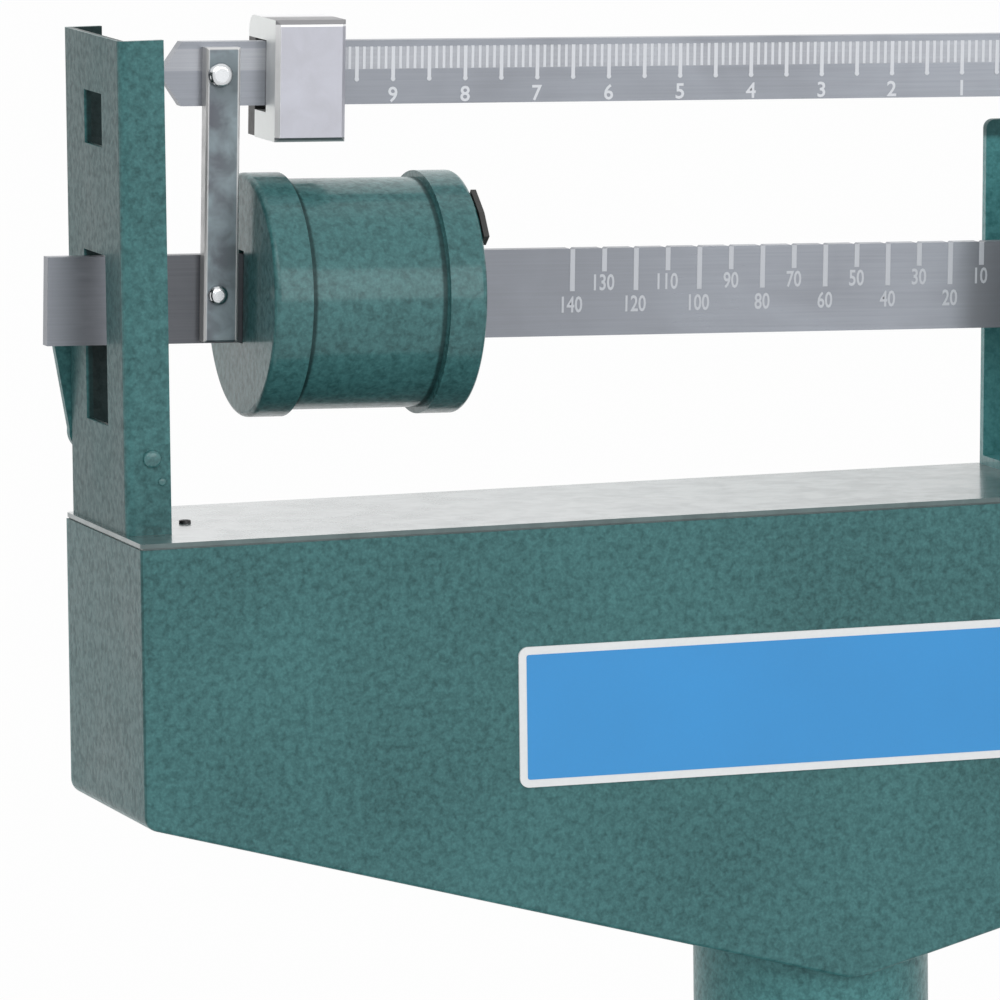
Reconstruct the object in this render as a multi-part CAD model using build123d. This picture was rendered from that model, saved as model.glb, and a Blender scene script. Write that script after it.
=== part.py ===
from build123d import *
from math import cos, radians, sin
import os

# A mechanical column platform scale: a beam head on a column, a lever base and a platform.
# Millimetres, +Z up, +X to the right along the beam, -Y to the front, where the user stands.
# The origin is on the floor, under the middle of the whole scale.

# Column
COLUMN_D = 76.2
COLUMN_WALL = 2.65
HEAD_Z = 955.0  # casing lid above the floor
RAIL_FIT = 0.05  # radial clearance of a pin that turns in its bearing
LINK_FIT = 0.12  # radial clearance where a linkage is open, so that small arcs fit
SEAT_FIT = 0.02  # radial clearance of a pin fixed in its hole
CUT = 1.0  # how far a cutting shape passes the face that it cuts

# Casing, a folded sheet box with a V-shaped bottom
CASING_HALF = 236.0
CASING_DEPTH = 86.0
CASING_END_H = 90.0
CASING_MID_H = 153.5
SHEET = 1.5
LID_T = 2.0
LID_GROOVE = 0.6
CASING_BEND = 1.44
CASING_CORNER = 5.0
CASING_APEX = 16.0
COLUMN_IN = 28.0  # how far the column stands into the casing above its lowest point
SADDLE_HALF = 58.0
SADDLE_T = 4.0
COLUMN_HOLE_FIT = 0.3
ROD_ROOM = 6.0  # round the pull rod in the saddle and the deck
LINK_ROOM = 3.0  # round the beam link in the lid and the stand
COVER_POST_INSET = 66.0
COVER_POST_Z = 42.0
COVER_POST_R = 5.0
COVER_SCREW_R = 4.0
COVER_SCREW_H = 2.4
COVER_SCREW_ROUND = 1.4

# Plate on the front of the casing
LABEL_LEFT = -112.8
LABEL_TOP = 39.3
LABEL_H = 44.9
LABEL_T = 0.8
LABEL_CORNER = 3.0

# Guide upright at the left end, a slotted channel
UPRIGHT_INSET = 1.5
UPRIGHT_FRONT = -22.4
UPRIGHT_REAR = 41.0
UPRIGHT_FLANGE = 14.5
UPRIGHT_REAR_FLANGE = 11.9
UPRIGHT_H = 155.5
UPRIGHT_T = 2.2
UPRIGHT_BEND = 3.0
UPRIGHT_REAR_BEND = 1.2
UPRIGHT_TOE = 1.0  # how far its foot stays behind the flanges
SLOT_REAR = 22.0
SLOT_FRONT = -2.5
BEAM_SLOT_LOW = 32.5
BEAM_SLOT_HIGH = 86.6
WINDOW_LOW = 120.5
WINDOW_HIGH = 137.5
WINDOW_FRONT = -1.0
WINDOW_REAR = 19.0
UPRIGHT_SCREW_R = 3.6
UPRIGHT_SCREW_H = 2.6
UPRIGHT_SCREW_X = 8.6
UPRIGHT_SCREW_INSET = 14.0

# Beam: two bars joined by link plates
BEAM_TILT = 1.6  # degrees, left end up, where the lock holds it
FULCRUM_X = 96.0
BAR_FRONT = 14.7
BAR_T = 4.8
MAIN_BAR_LOW = 47.2
MAIN_BAR_H = 28.2
FINE_BAR_LOW = 122.7
FINE_BAR_H = 20.4
BEAM_REACH = 13.0  # past the casing end
MAIN_BAR_RIGHT = 150.0
FINE_TIP = -212.7
FINE_POINT = 7.0
LINK_LEFT = -198.8
LINK_W = 11.2
LINK_T = 5.0
LINK_TOP_INSET = 1.6
LINK_LOW_INSET = 0.8
RIVET_SHIFT = 1.2
RIVET_LOW_UP = 1.7
LINK_RIGHT = 126.0
RIVET_R = 4.0
RIVET_SMALL_R = 3.3
RIVET_H = 2.2
MAIN_ZERO = 77.0
MAIN_STEP = 10.8  # along the bar for 10 kg
MAIN_NOTCHES = 15
NOTCH_W = 2.4
NOTCH_DEPTH = 1.0
LINK_BEVEL = 0.6
RIVET_ROUND = 1.76
HUB_INSET = 3.0
HUB_LEFT = 84.0
HUB_RIGHT = 108.0
HUB_T = 6.0
FULCRUM_R = 4.0
LOAD_ARM = 20.0
LOAD_R = 4.0

# Stand that carries the fulcrum
STAND_HALF_FOOT = 20.6
STAND_HALF_TOP = 18.6
STAND_H = 113.7
STAND_T = 3.0
STAND_FOOT = 16.0
STAND_ROUND = 3.0
BEARING_R = 9.0
BEARING_T = 3.5
BEARING_LIP = 2.0
PIN_SHORT = 0.5  # how far the pin ends inside the stand

# Drum poise
DRUM_LEFT = -184.6
DRUM_LEN = 70.3
DRUM_UP = 0.85  # its axis above the middle of the main bar
DRUM_R = 36.8
CAP_R = 38.9
CAP_LEN = 12.4
CAP_EDGE = 1.8
CAP_SKIN = 1.2
DRUM_BORE_SIDE = 0.4
DRUM_BORE_TOP = 0.6
PAWL_T = 1.8
PAWL_PIN_R = 2.0
PAWL_PIN_OUT = 0.5
PAWL_FORWARD = 15.0
PAWL_UP = 21.0
PAWL_GAP = 0.2
PAWL_PAD = ((-3.0, 13.2), (-12.0, 6.8), (-17.7, -0.4), (-14.0, -3.5))  # thumb pad, from the pin
PAWL_NECK_Y = 3.0  # in front of the pin
PAWL_NECK_Z = 4.5  # below the pin
PAWL_SHOULDER_Y = 2.0  # behind the pin
PAWL_SHOULDER_Z = 5.0  # above the pin
PAWL_TOOTH_GAP = 0.4
PAWL_TOOTH_HALF = 2.0
PAWL_TOOTH_H = 5.0

# Block poise
BLOCK_LEFT = -177.8
BLOCK_W = 23.2
BLOCK_FRONT = 3.2
BLOCK_BODY_REAR = 26.5
BLOCK_REAR = 33.5
BLOCK_BELOW = 10.9
BLOCK_ABOVE = 7.4
BLOCK_LIP = 2.2
BLOCK_BEVEL = 1.4
BLOCK_GAP = 0.3
BLOCK_ROUND = 5.0
PAD_INSET_X = 6.0
PAD_INSET_Z = 4.0
BACK_RISE = 0.3

# Balance weight on a rod at the right end
ROD_R = 4.0
WEIGHT_X = 190.0
WEIGHT_R = 15.0
WEIGHT_LEN = 24.0
WEIGHT_BEVEL = 1.2
SOCKET_LEN = 10.0
SOCKET_HALF_W = 7.0
SOCKET_HALF_H = 8.0

# Beam lock lever
LOCK_INSET = 6.5  # from the outer side of the upright
LOCK_LEAN = 11.3
LOCK_Z = 26.0
LOCK_BOSS_R = 7.0
LOCK_TIP_Z = 68.0
LOCK_TIP_R = 2.6
LOCK_T = 3.0
LOCK_GAP = 0.3
LOCK_TAPER = 0.96
LOCK_CLEAR = 0.8  # between the lock pin and the bar
STUD_R = 3.0
STUD_HEAD_R = 5.5
STUD_HEAD_H = 2.2
STUD_NUT_R = 4.0
STUD_NUT_H = 1.5
STUD_PLAY = 0.8

# Transfer lever and the links in the casing and the column
TRANSFER_Z = 70.0  # below the lid
TRANSFER_INSET = 24.0
TRANSFER_H = 20.0
TRANSFER_T = 6.0
TRANSFER_PIN_R = 5.0
TRANSFER_NOSE = 14.0
TRANSFER_TAIL = 12.0
BRACKET_HALF = 13.0
BRACKET_T = 4.0
BRACKET_TAIL = 12.0
STRAP_W = 14.0
STRAP_T = 3.0
STRAP_GAP = 2.5
STRAP_END = 10.0
PIN_END = 1.5
STRAP_BAR_R = 3.0
PULL_ROD_R = 4.0
EAR_T = 4.0
EAR_GAP = 0.6
FORK_HALF_X = 10.0
FORK_HALF_Y = 8.0
FORK_T = 6.0
CLEVIS_T = 5.0
CLEVIS_ROOM = 4.0
EAR_BELOW = 9.0

# Base frame
BASE_HALF = 210.0
BASE_REAR = 75.0  # behind the column axis
FRONT_MARGIN = 37.1  # from the front fulcrum to the outer side of the front rail
FOOT_H = 20.0
FOOT_R = 19.0
RAIL_H = 70.0
RAIL_W = 40.0
RAIL_T = 3.0
DECK_T = 8.0
DECK_FRONT = 66.0
FLANGE_R = 62.0
FLANGE_T = 12.0
SOCKET_R = 45.0
SOCKET_H = 34.0
BOLT_PCD = 106.0
BOLT_R = 5.0
BOLT_HEAD_R = 8.0
BOLT_HEAD_H = 6.0
DECK_ROUND = 6.0
FLANGE_ROUND = 2.0
FOOT_ROUND = 2.5
FOOT_INSET_Y = 6.0
FOOT_INSET_X = 1.0

# Levers in the base
LONG_ARM = 560.0  # fulcrum to nose
SHORT_SIDE = 35.0  # fulcrum to load pivot, on both levers
REAR_FULCRUM = 55.0  # in front of the column axis
LONG_Z = 62.0
SHORT_Z = 40.0
LEVER_H = 20.0
LEVER_W = 12.0
ARM_INSET = 46.0  # from the pedestal in to the middle of the arm
ARM_NOSE_X = 14.0
ARM_TAIL = 15.0
NOSE_HALF = 20.0
NOSE_LEN = 50.0
LEVER_PIN_R = 5.0
PEDESTAL_GAP = 2.0  # inside the edge of the rail
PEDESTAL_W = 28.0
PEDESTAL_CAP = 12.0
LEVER_PIN_SHORT = 4.0
LEVER_PIN_SPAN = 22.0
NOSE_TAIL = 10.0
NOSE_PIN_END = 2.0
PEDESTAL_LEN = 30.0
SHACKLE_T = 4.0
CROSSBAR_R = 6.0
CROSSBAR_END = 3.0

# Platform
PLATFORM_T = 5.0
PLATFORM_RISE = 6.0  # above the rails
PLATFORM_GAP = 3.0  # beside the rails
PLATFORM_RIM = 26.0
PLATFORM_RIM_T = 3.0
PLATFORM_TO_DECK = 4.0
PLATFORM_CORNER = 6.0
PLATFORM_ROUND = 1.5
POST_W = 18.0
POST_LEN = 22.0
POST_INSET = 32.0  # from the pedestal in to the post
POST_BELOW = 10.0
POST_PIN_END = 3.0

COLUMN_R = COLUMN_D / 2
BAR_MID = BAR_FRONT + BAR_T / 2
ROD_Y = BAR_MID
BASE_FRONT = LONG_ARM + FRONT_MARGIN - ROD_Y  # in front of the column axis
PEDESTAL_X = BASE_HALF - RAIL_W + PEDESTAL_GAP
ARM_FOOT_X = PEDESTAL_X - ARM_INSET
POST_X0 = PEDESTAL_X - POST_INSET
TRANSFER_FULCRUM_X = CASING_HALF - TRANSFER_INSET
COVER_POST_X = CASING_HALF - COVER_POST_INSET
BEAM_LEFT = -CASING_HALF - BEAM_REACH
FLOOR_SLOPE = (CASING_MID_H - CASING_END_H) / CASING_HALF
PLATFORM_FRONT = BASE_FRONT + PLATFORM_GAP + PLATFORM_RIM_T
COLUMN_Y = (PLATFORM_FRONT - BASE_REAR) / 2
HALF_DEPTH = CASING_DEPTH / 2
BAR_REAR = BAR_FRONT + BAR_T
MAIN_MID = MAIN_BAR_LOW + MAIN_BAR_H / 2
MAIN_TOP = MAIN_BAR_LOW + MAIN_BAR_H
FINE_MID = FINE_BAR_LOW + FINE_BAR_H / 2
FINE_TOP = FINE_BAR_LOW + FINE_BAR_H
RAIL_TOP = FOOT_H + RAIL_H
UPRIGHT_X = UPRIGHT_INSET - CASING_HALF
LOCK_X = UPRIGHT_X + LOCK_INSET
LOCK_TIP_X = LOCK_X - LOCK_LEAN

parts = {}


def box(x, y, z):
    """A box from three (low, high) pairs."""
    size = [high - low for low, high in (x, y, z)]
    middle = [(high + low) / 2 for low, high in (x, y, z)]
    return Pos(*middle) * Box(*size)


def rod_x(r, x, y, z):
    """A round bar along X between the two values in x."""
    return Pos((x[0] + x[1]) / 2, y, z) * Rot(0, 90, 0) * Cylinder(r, x[1] - x[0])


def rod_y(r, x, y, z):
    """A round bar along Y between the two values in y."""
    return Pos(x, (y[0] + y[1]) / 2, z) * Rot(90, 0, 0) * Cylinder(r, y[1] - y[0])


def rod_z(r, x, y, z):
    """A round bar along Z between the two values in z."""
    return Pos(x, y, (z[0] + z[1]) / 2) * Cylinder(r, z[1] - z[0])


def plate_xz(points, y):
    """A flat plate with an outline in X and Z, between the two values in y."""
    face = Plane.XZ.offset(-y[0]) * make_face(Polyline(*points, close=True))
    return extrude(face, amount=-(y[1] - y[0]))


def plate_xy(points, z):
    """A flat plate with an outline in X and Y, between the two values in z."""
    return extrude(Pos(0, 0, z[0]) * make_face(Polyline(*points, close=True)), amount=z[1] - z[0])


def head(name, shape):
    """Place a piece whose heights count from the casing lid and whose depths count from the column axis."""
    parts[name] = Pos(0, COLUMN_Y, HEAD_Z) * shape


def beam(name, shape):
    """Place a piece of the beam, which is drawn level and then tilted about the fulcrum."""
    head(name, Pos(FULCRUM_X, 0, MAIN_MID) * Rot(0, BEAM_TILT, 0) * Pos(-FULCRUM_X, 0, -MAIN_MID) * shape)


def base(name, shape):
    """Place a piece whose heights count from the floor and whose depths count from the column axis."""
    parts[name] = Pos(0, COLUMN_Y, 0) * shape


def tilted(x, z):
    """Where a point of the level beam stands once the beam is tilted."""
    dx, dz, turn = x - FULCRUM_X, z - MAIN_MID, radians(BEAM_TILT)
    return FULCRUM_X + dx * cos(turn) + dz * sin(turn), MAIN_MID - dx * sin(turn) + dz * cos(turn)


# The load pivot's place at rest gives the place of the links and of the pull rod
LOAD_X, LOAD_Z = tilted(FULCRUM_X + LOAD_ARM, MAIN_MID)
STRAP_REACH = BAR_T / 2 + STRAP_GAP + STRAP_T


def casing_floor(x):
    """Height of the V-shaped bottom's outer side at x."""
    return FLOOR_SLOPE * abs(x) - CASING_MID_H


def casing_block(inset, y, top):
    """The casing's outline, moved in by inset, between the two values in y."""
    half = CASING_HALF - inset
    rise = inset * (1 + FLOOR_SLOPE**2) ** 0.5
    end = casing_floor(half) + rise
    points = [(-half, top), (half, top), (half, end), (0, casing_floor(0) + rise), (-half, end)]
    body = plate_xz(points, y)
    along_y = body.edges().filter_by(Axis.Y).sort_by(Axis.Z)
    body = fillet(along_y[0], CASING_APEX - inset)
    corners = body.edges().filter_by(Axis.Y).filter_by(
        lambda e: abs(abs(e.center().X) - half) < SEAT_FIT and e.center().Z < top - 1
    )
    return fillet(corners, CASING_CORNER - inset)


def casing():
    outer = casing_block(0, (-HALF_DEPTH, HALF_DEPTH - SHEET), -LID_T)
    front = outer.faces().sort_by(Axis.Y)[0]
    top_edge = front.edges().sort_by(Axis.Z)[-1]
    outer = fillet([e for e in front.edges() if e.center().Z < top_edge.center().Z - 1], CASING_BEND)
    inner = casing_block(SHEET, (SHEET - HALF_DEPTH, HALF_DEPTH + SHEET), LID_T)
    hole = rod_z(COLUMN_R + COLUMN_HOLE_FIT, 0, 0, (-CASING_MID_H - CUT, casing_floor(SADDLE_HALF) + CUT))
    head("casing", outer - inner - hole)

    lid = box((-CASING_HALF, CASING_HALF), (-HALF_DEPTH, HALF_DEPTH), (-LID_T, 0))
    lid = fillet(lid.edges().filter_by(Axis.Z), CASING_BEND)
    groove = box(
        (-CASING_HALF - CUT, CASING_HALF + CUT),
        (-HALF_DEPTH - CUT, HALF_DEPTH + CUT),
        (-LID_T, LID_GROOVE - LID_T),
    )
    groove -= box(
        (LID_GROOVE - CASING_HALF, CASING_HALF - LID_GROOVE),
        (LID_GROOVE - HALF_DEPTH, HALF_DEPTH - LID_GROOVE),
        (-LID_T, 0),
    )
    reach_x = STRAP_W / 2 + LINK_ROOM
    reach_y = STRAP_REACH + LINK_ROOM
    slot = box((LOAD_X - reach_x, LOAD_X + reach_x), (ROD_Y - reach_y, ROD_Y + reach_y), (-LID_T - CUT, CUT))
    head("casing_lid", lid - groove - slot)

    cover = casing_block(0, (HALF_DEPTH - SHEET, HALF_DEPTH), -LID_T)
    posts, screws = [], []
    for x in (-COVER_POST_X, COVER_POST_X):
        posts.append(rod_y(COVER_POST_R, x, (SHEET - HALF_DEPTH, HALF_DEPTH - SHEET), -COVER_POST_Z))
        screw = rod_y(COVER_SCREW_R, x, (HALF_DEPTH, HALF_DEPTH + COVER_SCREW_H), -COVER_POST_Z)
        screws.append(fillet(screw.edges().sort_by(Axis.Y)[-1], COVER_SCREW_ROUND))
    head("casing_rear_cover", cover)
    head("cover_posts", Compound(posts))
    head("cover_screws", Compound(screws))

    saddle_z = -CASING_MID_H + COLUMN_IN
    depth = (SHEET - HALF_DEPTH, HALF_DEPTH - SHEET)
    saddle = box((-SADDLE_HALF, SADDLE_HALF), depth, (saddle_z, saddle_z + SADDLE_T))
    saddle -= rod_z(PULL_ROD_R + ROD_ROOM, 0, ROD_Y, (saddle_z - CUT, saddle_z + SADDLE_T + CUT))
    head("column_saddle", saddle)

    label_low = -LABEL_TOP - LABEL_H
    label = box((LABEL_LEFT, -LABEL_LEFT), (-HALF_DEPTH - LABEL_T, -HALF_DEPTH), (label_low, -LABEL_TOP))
    head("label_plate", fillet(label.edges().filter_by(Axis.Y), LABEL_CORNER))


def guide_upright():
    x0, x1 = UPRIGHT_X, UPRIGHT_X + UPRIGHT_FLANGE
    body = box((x0, x1), (UPRIGHT_FRONT, UPRIGHT_REAR), (0, UPRIGHT_H))
    bends = body.edges().filter_by(Axis.Z).sort_by(Axis.X)[:2].sort_by(Axis.Y)
    body = fillet(bends[0], UPRIGHT_BEND)
    body = fillet(body.edges().filter_by(Axis.Z).sort_by(Axis.X)[:2].sort_by(Axis.Y)[-1], UPRIGHT_REAR_BEND)
    inside_y = (UPRIGHT_FRONT + UPRIGHT_T, UPRIGHT_REAR - UPRIGHT_T)
    tall = (-CUT, UPRIGHT_H + CUT)
    body -= box((x0 + UPRIGHT_T, x1 + CUT), inside_y, tall)
    rear_flange = (UPRIGHT_REAR - UPRIGHT_T - CUT, UPRIGHT_REAR + CUT)
    body -= box((x0 + UPRIGHT_REAR_FLANGE, x1 + CUT), rear_flange, tall)
    web = (x0 - CUT, x0 + UPRIGHT_T + CUT)
    body -= box(web, (SLOT_FRONT, SLOT_REAR), (BEAM_SLOT_LOW, BEAM_SLOT_HIGH))
    body -= box(web, (WINDOW_FRONT, WINDOW_REAR), (WINDOW_LOW, WINDOW_HIGH))
    body += box((x0 + UPRIGHT_T, x1 - UPRIGHT_TOE), inside_y, (0, UPRIGHT_T))
    body -= rod_y(STUD_R + SEAT_FIT, LOCK_X, rear_flange, LOCK_Z)
    head("guide_upright", body)

    screws = []
    for y in (UPRIGHT_FRONT + UPRIGHT_SCREW_INSET, UPRIGHT_REAR - UPRIGHT_SCREW_INSET):
        z = (UPRIGHT_T, UPRIGHT_T + UPRIGHT_SCREW_H)
        screws.append(rod_z(UPRIGHT_SCREW_R, x0 + UPRIGHT_SCREW_X, y, z))
    head("upright_screws", Compound(screws))

    inner = UPRIGHT_REAR - UPRIGHT_T
    outer = UPRIGHT_REAR + LOCK_T + STUD_PLAY
    stud = rod_y(STUD_R, LOCK_X, (inner - STUD_NUT_H, outer), LOCK_Z)
    stud += rod_y(STUD_HEAD_R, LOCK_X, (outer, outer + STUD_HEAD_H), LOCK_Z)
    stud += rod_y(STUD_NUT_R, LOCK_X, (inner - STUD_NUT_H, inner), LOCK_Z)
    head("lock_stud", stud)


def beam_lock():
    dx, dz = LOCK_TIP_X - LOCK_X, LOCK_TIP_Z - LOCK_Z
    y = (UPRIGHT_REAR + LOCK_GAP, UPRIGHT_REAR + LOCK_GAP + LOCK_T)
    length = (dx * dx + dz * dz) ** 0.5
    side = (-dz / length, dx / length)
    big, small = LOCK_BOSS_R * LOCK_TAPER, LOCK_TIP_R * LOCK_TAPER
    arm = plate_xz(
        [
            (LOCK_X + side[0] * big, LOCK_Z + side[1] * big),
            (LOCK_TIP_X + side[0] * small, LOCK_TIP_Z + side[1] * small),
            (LOCK_TIP_X - side[0] * small, LOCK_TIP_Z - side[1] * small),
            (LOCK_X - side[0] * big, LOCK_Z - side[1] * big),
        ],
        y,
    )
    lever = arm + rod_y(LOCK_BOSS_R, LOCK_X, y, LOCK_Z)
    lever += rod_y(LOCK_TIP_R, LOCK_TIP_X, (BAR_REAR + LOCK_CLEAR, y[1]), LOCK_TIP_Z)
    head("beam_lock", lever - rod_y(STUD_R + RAIL_FIT, LOCK_X, (y[0] - CUT, y[1] + CUT), LOCK_Z))


def fulcrum_stand():
    outline = [
        (FULCRUM_X - STAND_HALF_FOOT, 0),
        (FULCRUM_X - STAND_HALF_TOP, STAND_H),
        (FULCRUM_X + STAND_HALF_TOP, STAND_H),
        (FULCRUM_X + STAND_HALF_FOOT, 0),
    ]
    rows = (
        ("front", UPRIGHT_FRONT, UPRIGHT_FRONT + STAND_T, UPRIGHT_FRONT + STAND_T, 1),
        ("rear", UPRIGHT_REAR - STAND_T, UPRIGHT_REAR, UPRIGHT_REAR - STAND_T, -1),
    )
    for side, low, high, inner, way in rows:
        plate = plate_xz(outline, (low, high))
        plate = fillet(plate.edges().filter_by(Axis.Y).sort_by(Axis.Z)[-2:], STAND_ROUND)
        toe = sorted((inner, inner + way * STAND_FOOT))
        plate += box((FULCRUM_X - STAND_HALF_FOOT, FULCRUM_X + STAND_HALF_FOOT), toe, (0, STAND_T))
        room = sorted((ROD_Y, ROD_Y - way * (STRAP_REACH + LINK_ROOM)))
        plate -= box((LOAD_X - STRAP_W, LOAD_X + STRAP_W), room, (-CUT, STAND_T + CUT))
        plate -= rod_y(BEARING_R + SEAT_FIT, FULCRUM_X, (low - CUT, high + CUT), MAIN_MID)
        head("stand_" + side, plate)
        bearing = rod_y(BEARING_R, FULCRUM_X, (low, high), MAIN_MID)
        lip = sorted((inner, inner + way * BEARING_T))
        bearing += rod_y(BEARING_R + BEARING_LIP, FULCRUM_X, lip, MAIN_MID)
        through = (low - BEARING_T - CUT, high + BEARING_T + CUT)
        bearing -= rod_y(FULCRUM_R + RAIL_FIT, FULCRUM_X, through, MAIN_MID)
        head("fulcrum_bearing_" + side, bearing)


def beam_bars():
    bar = box((BEAM_LEFT, MAIN_BAR_RIGHT), (BAR_FRONT, BAR_REAR), (MAIN_BAR_LOW, MAIN_TOP))
    through = (BAR_FRONT - CUT, BAR_REAR + CUT)
    for n in range(MAIN_NOTCHES):
        x = MAIN_ZERO - n * MAIN_STEP
        half = NOTCH_W / 2
        bar -= plate_xz([(x - half, MAIN_TOP), (x, MAIN_TOP - NOTCH_DEPTH), (x + half, MAIN_TOP)], through)
    bar -= rod_y(FULCRUM_R + SEAT_FIT, FULCRUM_X, through, MAIN_MID)
    bar -= rod_y(LOAD_R + SEAT_FIT, FULCRUM_X + LOAD_ARM, through, MAIN_MID)
    beam("main_bar", bar)

    outline = [
        (FINE_TIP, FINE_MID),
        (FINE_TIP + FINE_POINT, FINE_TOP),
        (LINK_RIGHT + LINK_W, FINE_TOP),
        (LINK_RIGHT + LINK_W, FINE_BAR_LOW),
        (FINE_TIP + FINE_POINT, FINE_BAR_LOW),
    ]
    beam("fine_bar", plate_xz(outline, (BAR_FRONT, BAR_REAR)))

    rivets = []
    for side, x in (("left", LINK_LEFT), ("right", LINK_RIGHT)):
        link_z = (MAIN_BAR_LOW + LINK_LOW_INSET, FINE_TOP - LINK_TOP_INSET)
        link = box((x, x + LINK_W), (BAR_FRONT - LINK_T, BAR_FRONT), link_z)
        beam("link_" + side, chamfer(link.faces().sort_by(Axis.Y)[0].edges(), LINK_BEVEL))
        for z, r in ((MAIN_MID + RIVET_LOW_UP, RIVET_SMALL_R), (FINE_MID, RIVET_R)):
            y = BAR_FRONT - LINK_T
            rivet = rod_y(r, x + LINK_W / 2 - RIVET_SHIFT, (y - RIVET_H, y), z)
            rivets.append(fillet(rivet.edges().sort_by(Axis.Y)[0], RIVET_ROUND))
    beam("link_rivets", Compound(rivets))

    cheeks = []
    for y in ((BAR_FRONT - HUB_T, BAR_FRONT), (BAR_REAR, BAR_REAR + HUB_T)):
        cheek = box((HUB_LEFT, HUB_RIGHT), y, (MAIN_BAR_LOW + HUB_INSET, MAIN_TOP - HUB_INSET))
        cheeks.append(cheek - rod_y(FULCRUM_R + SEAT_FIT, FULCRUM_X, (y[0] - CUT, y[1] + CUT), MAIN_MID))
    beam("fulcrum_hub", Compound(cheeks))
    pin_y = (UPRIGHT_FRONT + PIN_SHORT, UPRIGHT_REAR - PIN_SHORT)
    beam("fulcrum_pin", rod_y(FULCRUM_R, FULCRUM_X, pin_y, MAIN_MID))
    reach = STRAP_REACH + PIN_END
    beam("load_pin", rod_y(LOAD_R, FULCRUM_X + LOAD_ARM, (ROD_Y - reach, ROD_Y + reach), MAIN_MID))

    turn = radians(BEAM_TILT)
    left_end = (FULCRUM_X - BEAM_LEFT) * cos(turn) + MAIN_BAR_H / 2 * sin(turn) - FULCRUM_X
    end = FULCRUM_X + (left_end - FULCRUM_X - ROD_R * sin(turn)) / cos(turn)
    socket = box(
        (MAIN_BAR_RIGHT, MAIN_BAR_RIGHT + SOCKET_LEN),
        (BAR_MID - SOCKET_HALF_W, BAR_MID + SOCKET_HALF_W),
        (MAIN_MID - SOCKET_HALF_H, MAIN_MID + SOCKET_HALF_H),
    )
    beam("balance_rod", socket + rod_x(ROD_R, (MAIN_BAR_RIGHT + SOCKET_LEN - CUT, end), BAR_MID, MAIN_MID))


def balance_weight():
    weight = rod_x(WEIGHT_R, (WEIGHT_X, WEIGHT_X + WEIGHT_LEN), BAR_MID, MAIN_MID)
    weight = chamfer(weight.edges().filter_by(GeomType.CIRCLE), WEIGHT_BEVEL)
    weight -= rod_x(ROD_R + RAIL_FIT, (WEIGHT_X - CUT, WEIGHT_X + WEIGHT_LEN + CUT), BAR_MID, MAIN_MID)
    beam("balance_weight", weight)


def drum_poise():
    z = MAIN_MID + DRUM_UP
    right = DRUM_LEFT + DRUM_LEN
    side = DRUM_BORE_SIDE
    passage = box(
        (DRUM_LEFT - CUT, right + CUT),
        (BAR_FRONT - side, BAR_REAR + side),
        (MAIN_BAR_LOW - side, MAIN_TOP + side + DRUM_BORE_TOP),
    )
    body = rod_x(DRUM_R, (DRUM_LEFT + CAP_SKIN, right - CAP_SKIN), BAR_MID, z)
    beam("drum_body", body - passage)
    for name, x0, x1, outer in (
        ("drum_cap_left", DRUM_LEFT, DRUM_LEFT + CAP_LEN, 0),
        ("drum_cap_right", right - CAP_LEN, right, -1),
    ):
        cap = rod_x(CAP_R, (x0, x1), BAR_MID, z)
        rim = cap.edges().filter_by(GeomType.CIRCLE).sort_by(Axis.X)[outer]
        cap = fillet(rim, CAP_EDGE)
        cap -= rod_x(DRUM_R, (DRUM_LEFT + CAP_SKIN, right - CAP_SKIN), BAR_MID, z)
        if outer:
            cap += rod_x(PAWL_PIN_R, (right - CAP_SKIN, right + PAWL_T + PAWL_PIN_OUT), *pawl_pivot())
        beam(name, cap - passage)


def pawl_pivot():
    """Depth and height of the pawl's pin."""
    return BAR_MID - PAWL_FORWARD, MAIN_MID + DRUM_UP + PAWL_UP


def drum_pawl():
    x0 = DRUM_LEFT + DRUM_LEN + PAWL_GAP
    y, z = pawl_pivot()
    tooth_z = MAIN_TOP + PAWL_TOOTH_GAP
    points = [(y + dy, z + dz) for dy, dz in PAWL_PAD]
    points += [
        (y - PAWL_NECK_Y, z - PAWL_NECK_Z),
        (BAR_MID - PAWL_TOOTH_HALF, tooth_z),
        (BAR_MID + PAWL_TOOTH_HALF, tooth_z),
        (BAR_MID + PAWL_TOOTH_HALF, tooth_z + PAWL_TOOTH_H),
        (y + PAWL_SHOULDER_Y, z + PAWL_SHOULDER_Z),
    ]
    face = Plane.YZ.offset(x0) * make_face(Polyline(*points, close=True))
    pawl = extrude(face, amount=PAWL_T)
    beam("drum_pawl", pawl - rod_x(PAWL_PIN_R + RAIL_FIT, (x0 - CUT, x0 + PAWL_T + CUT), y, z))


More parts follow.
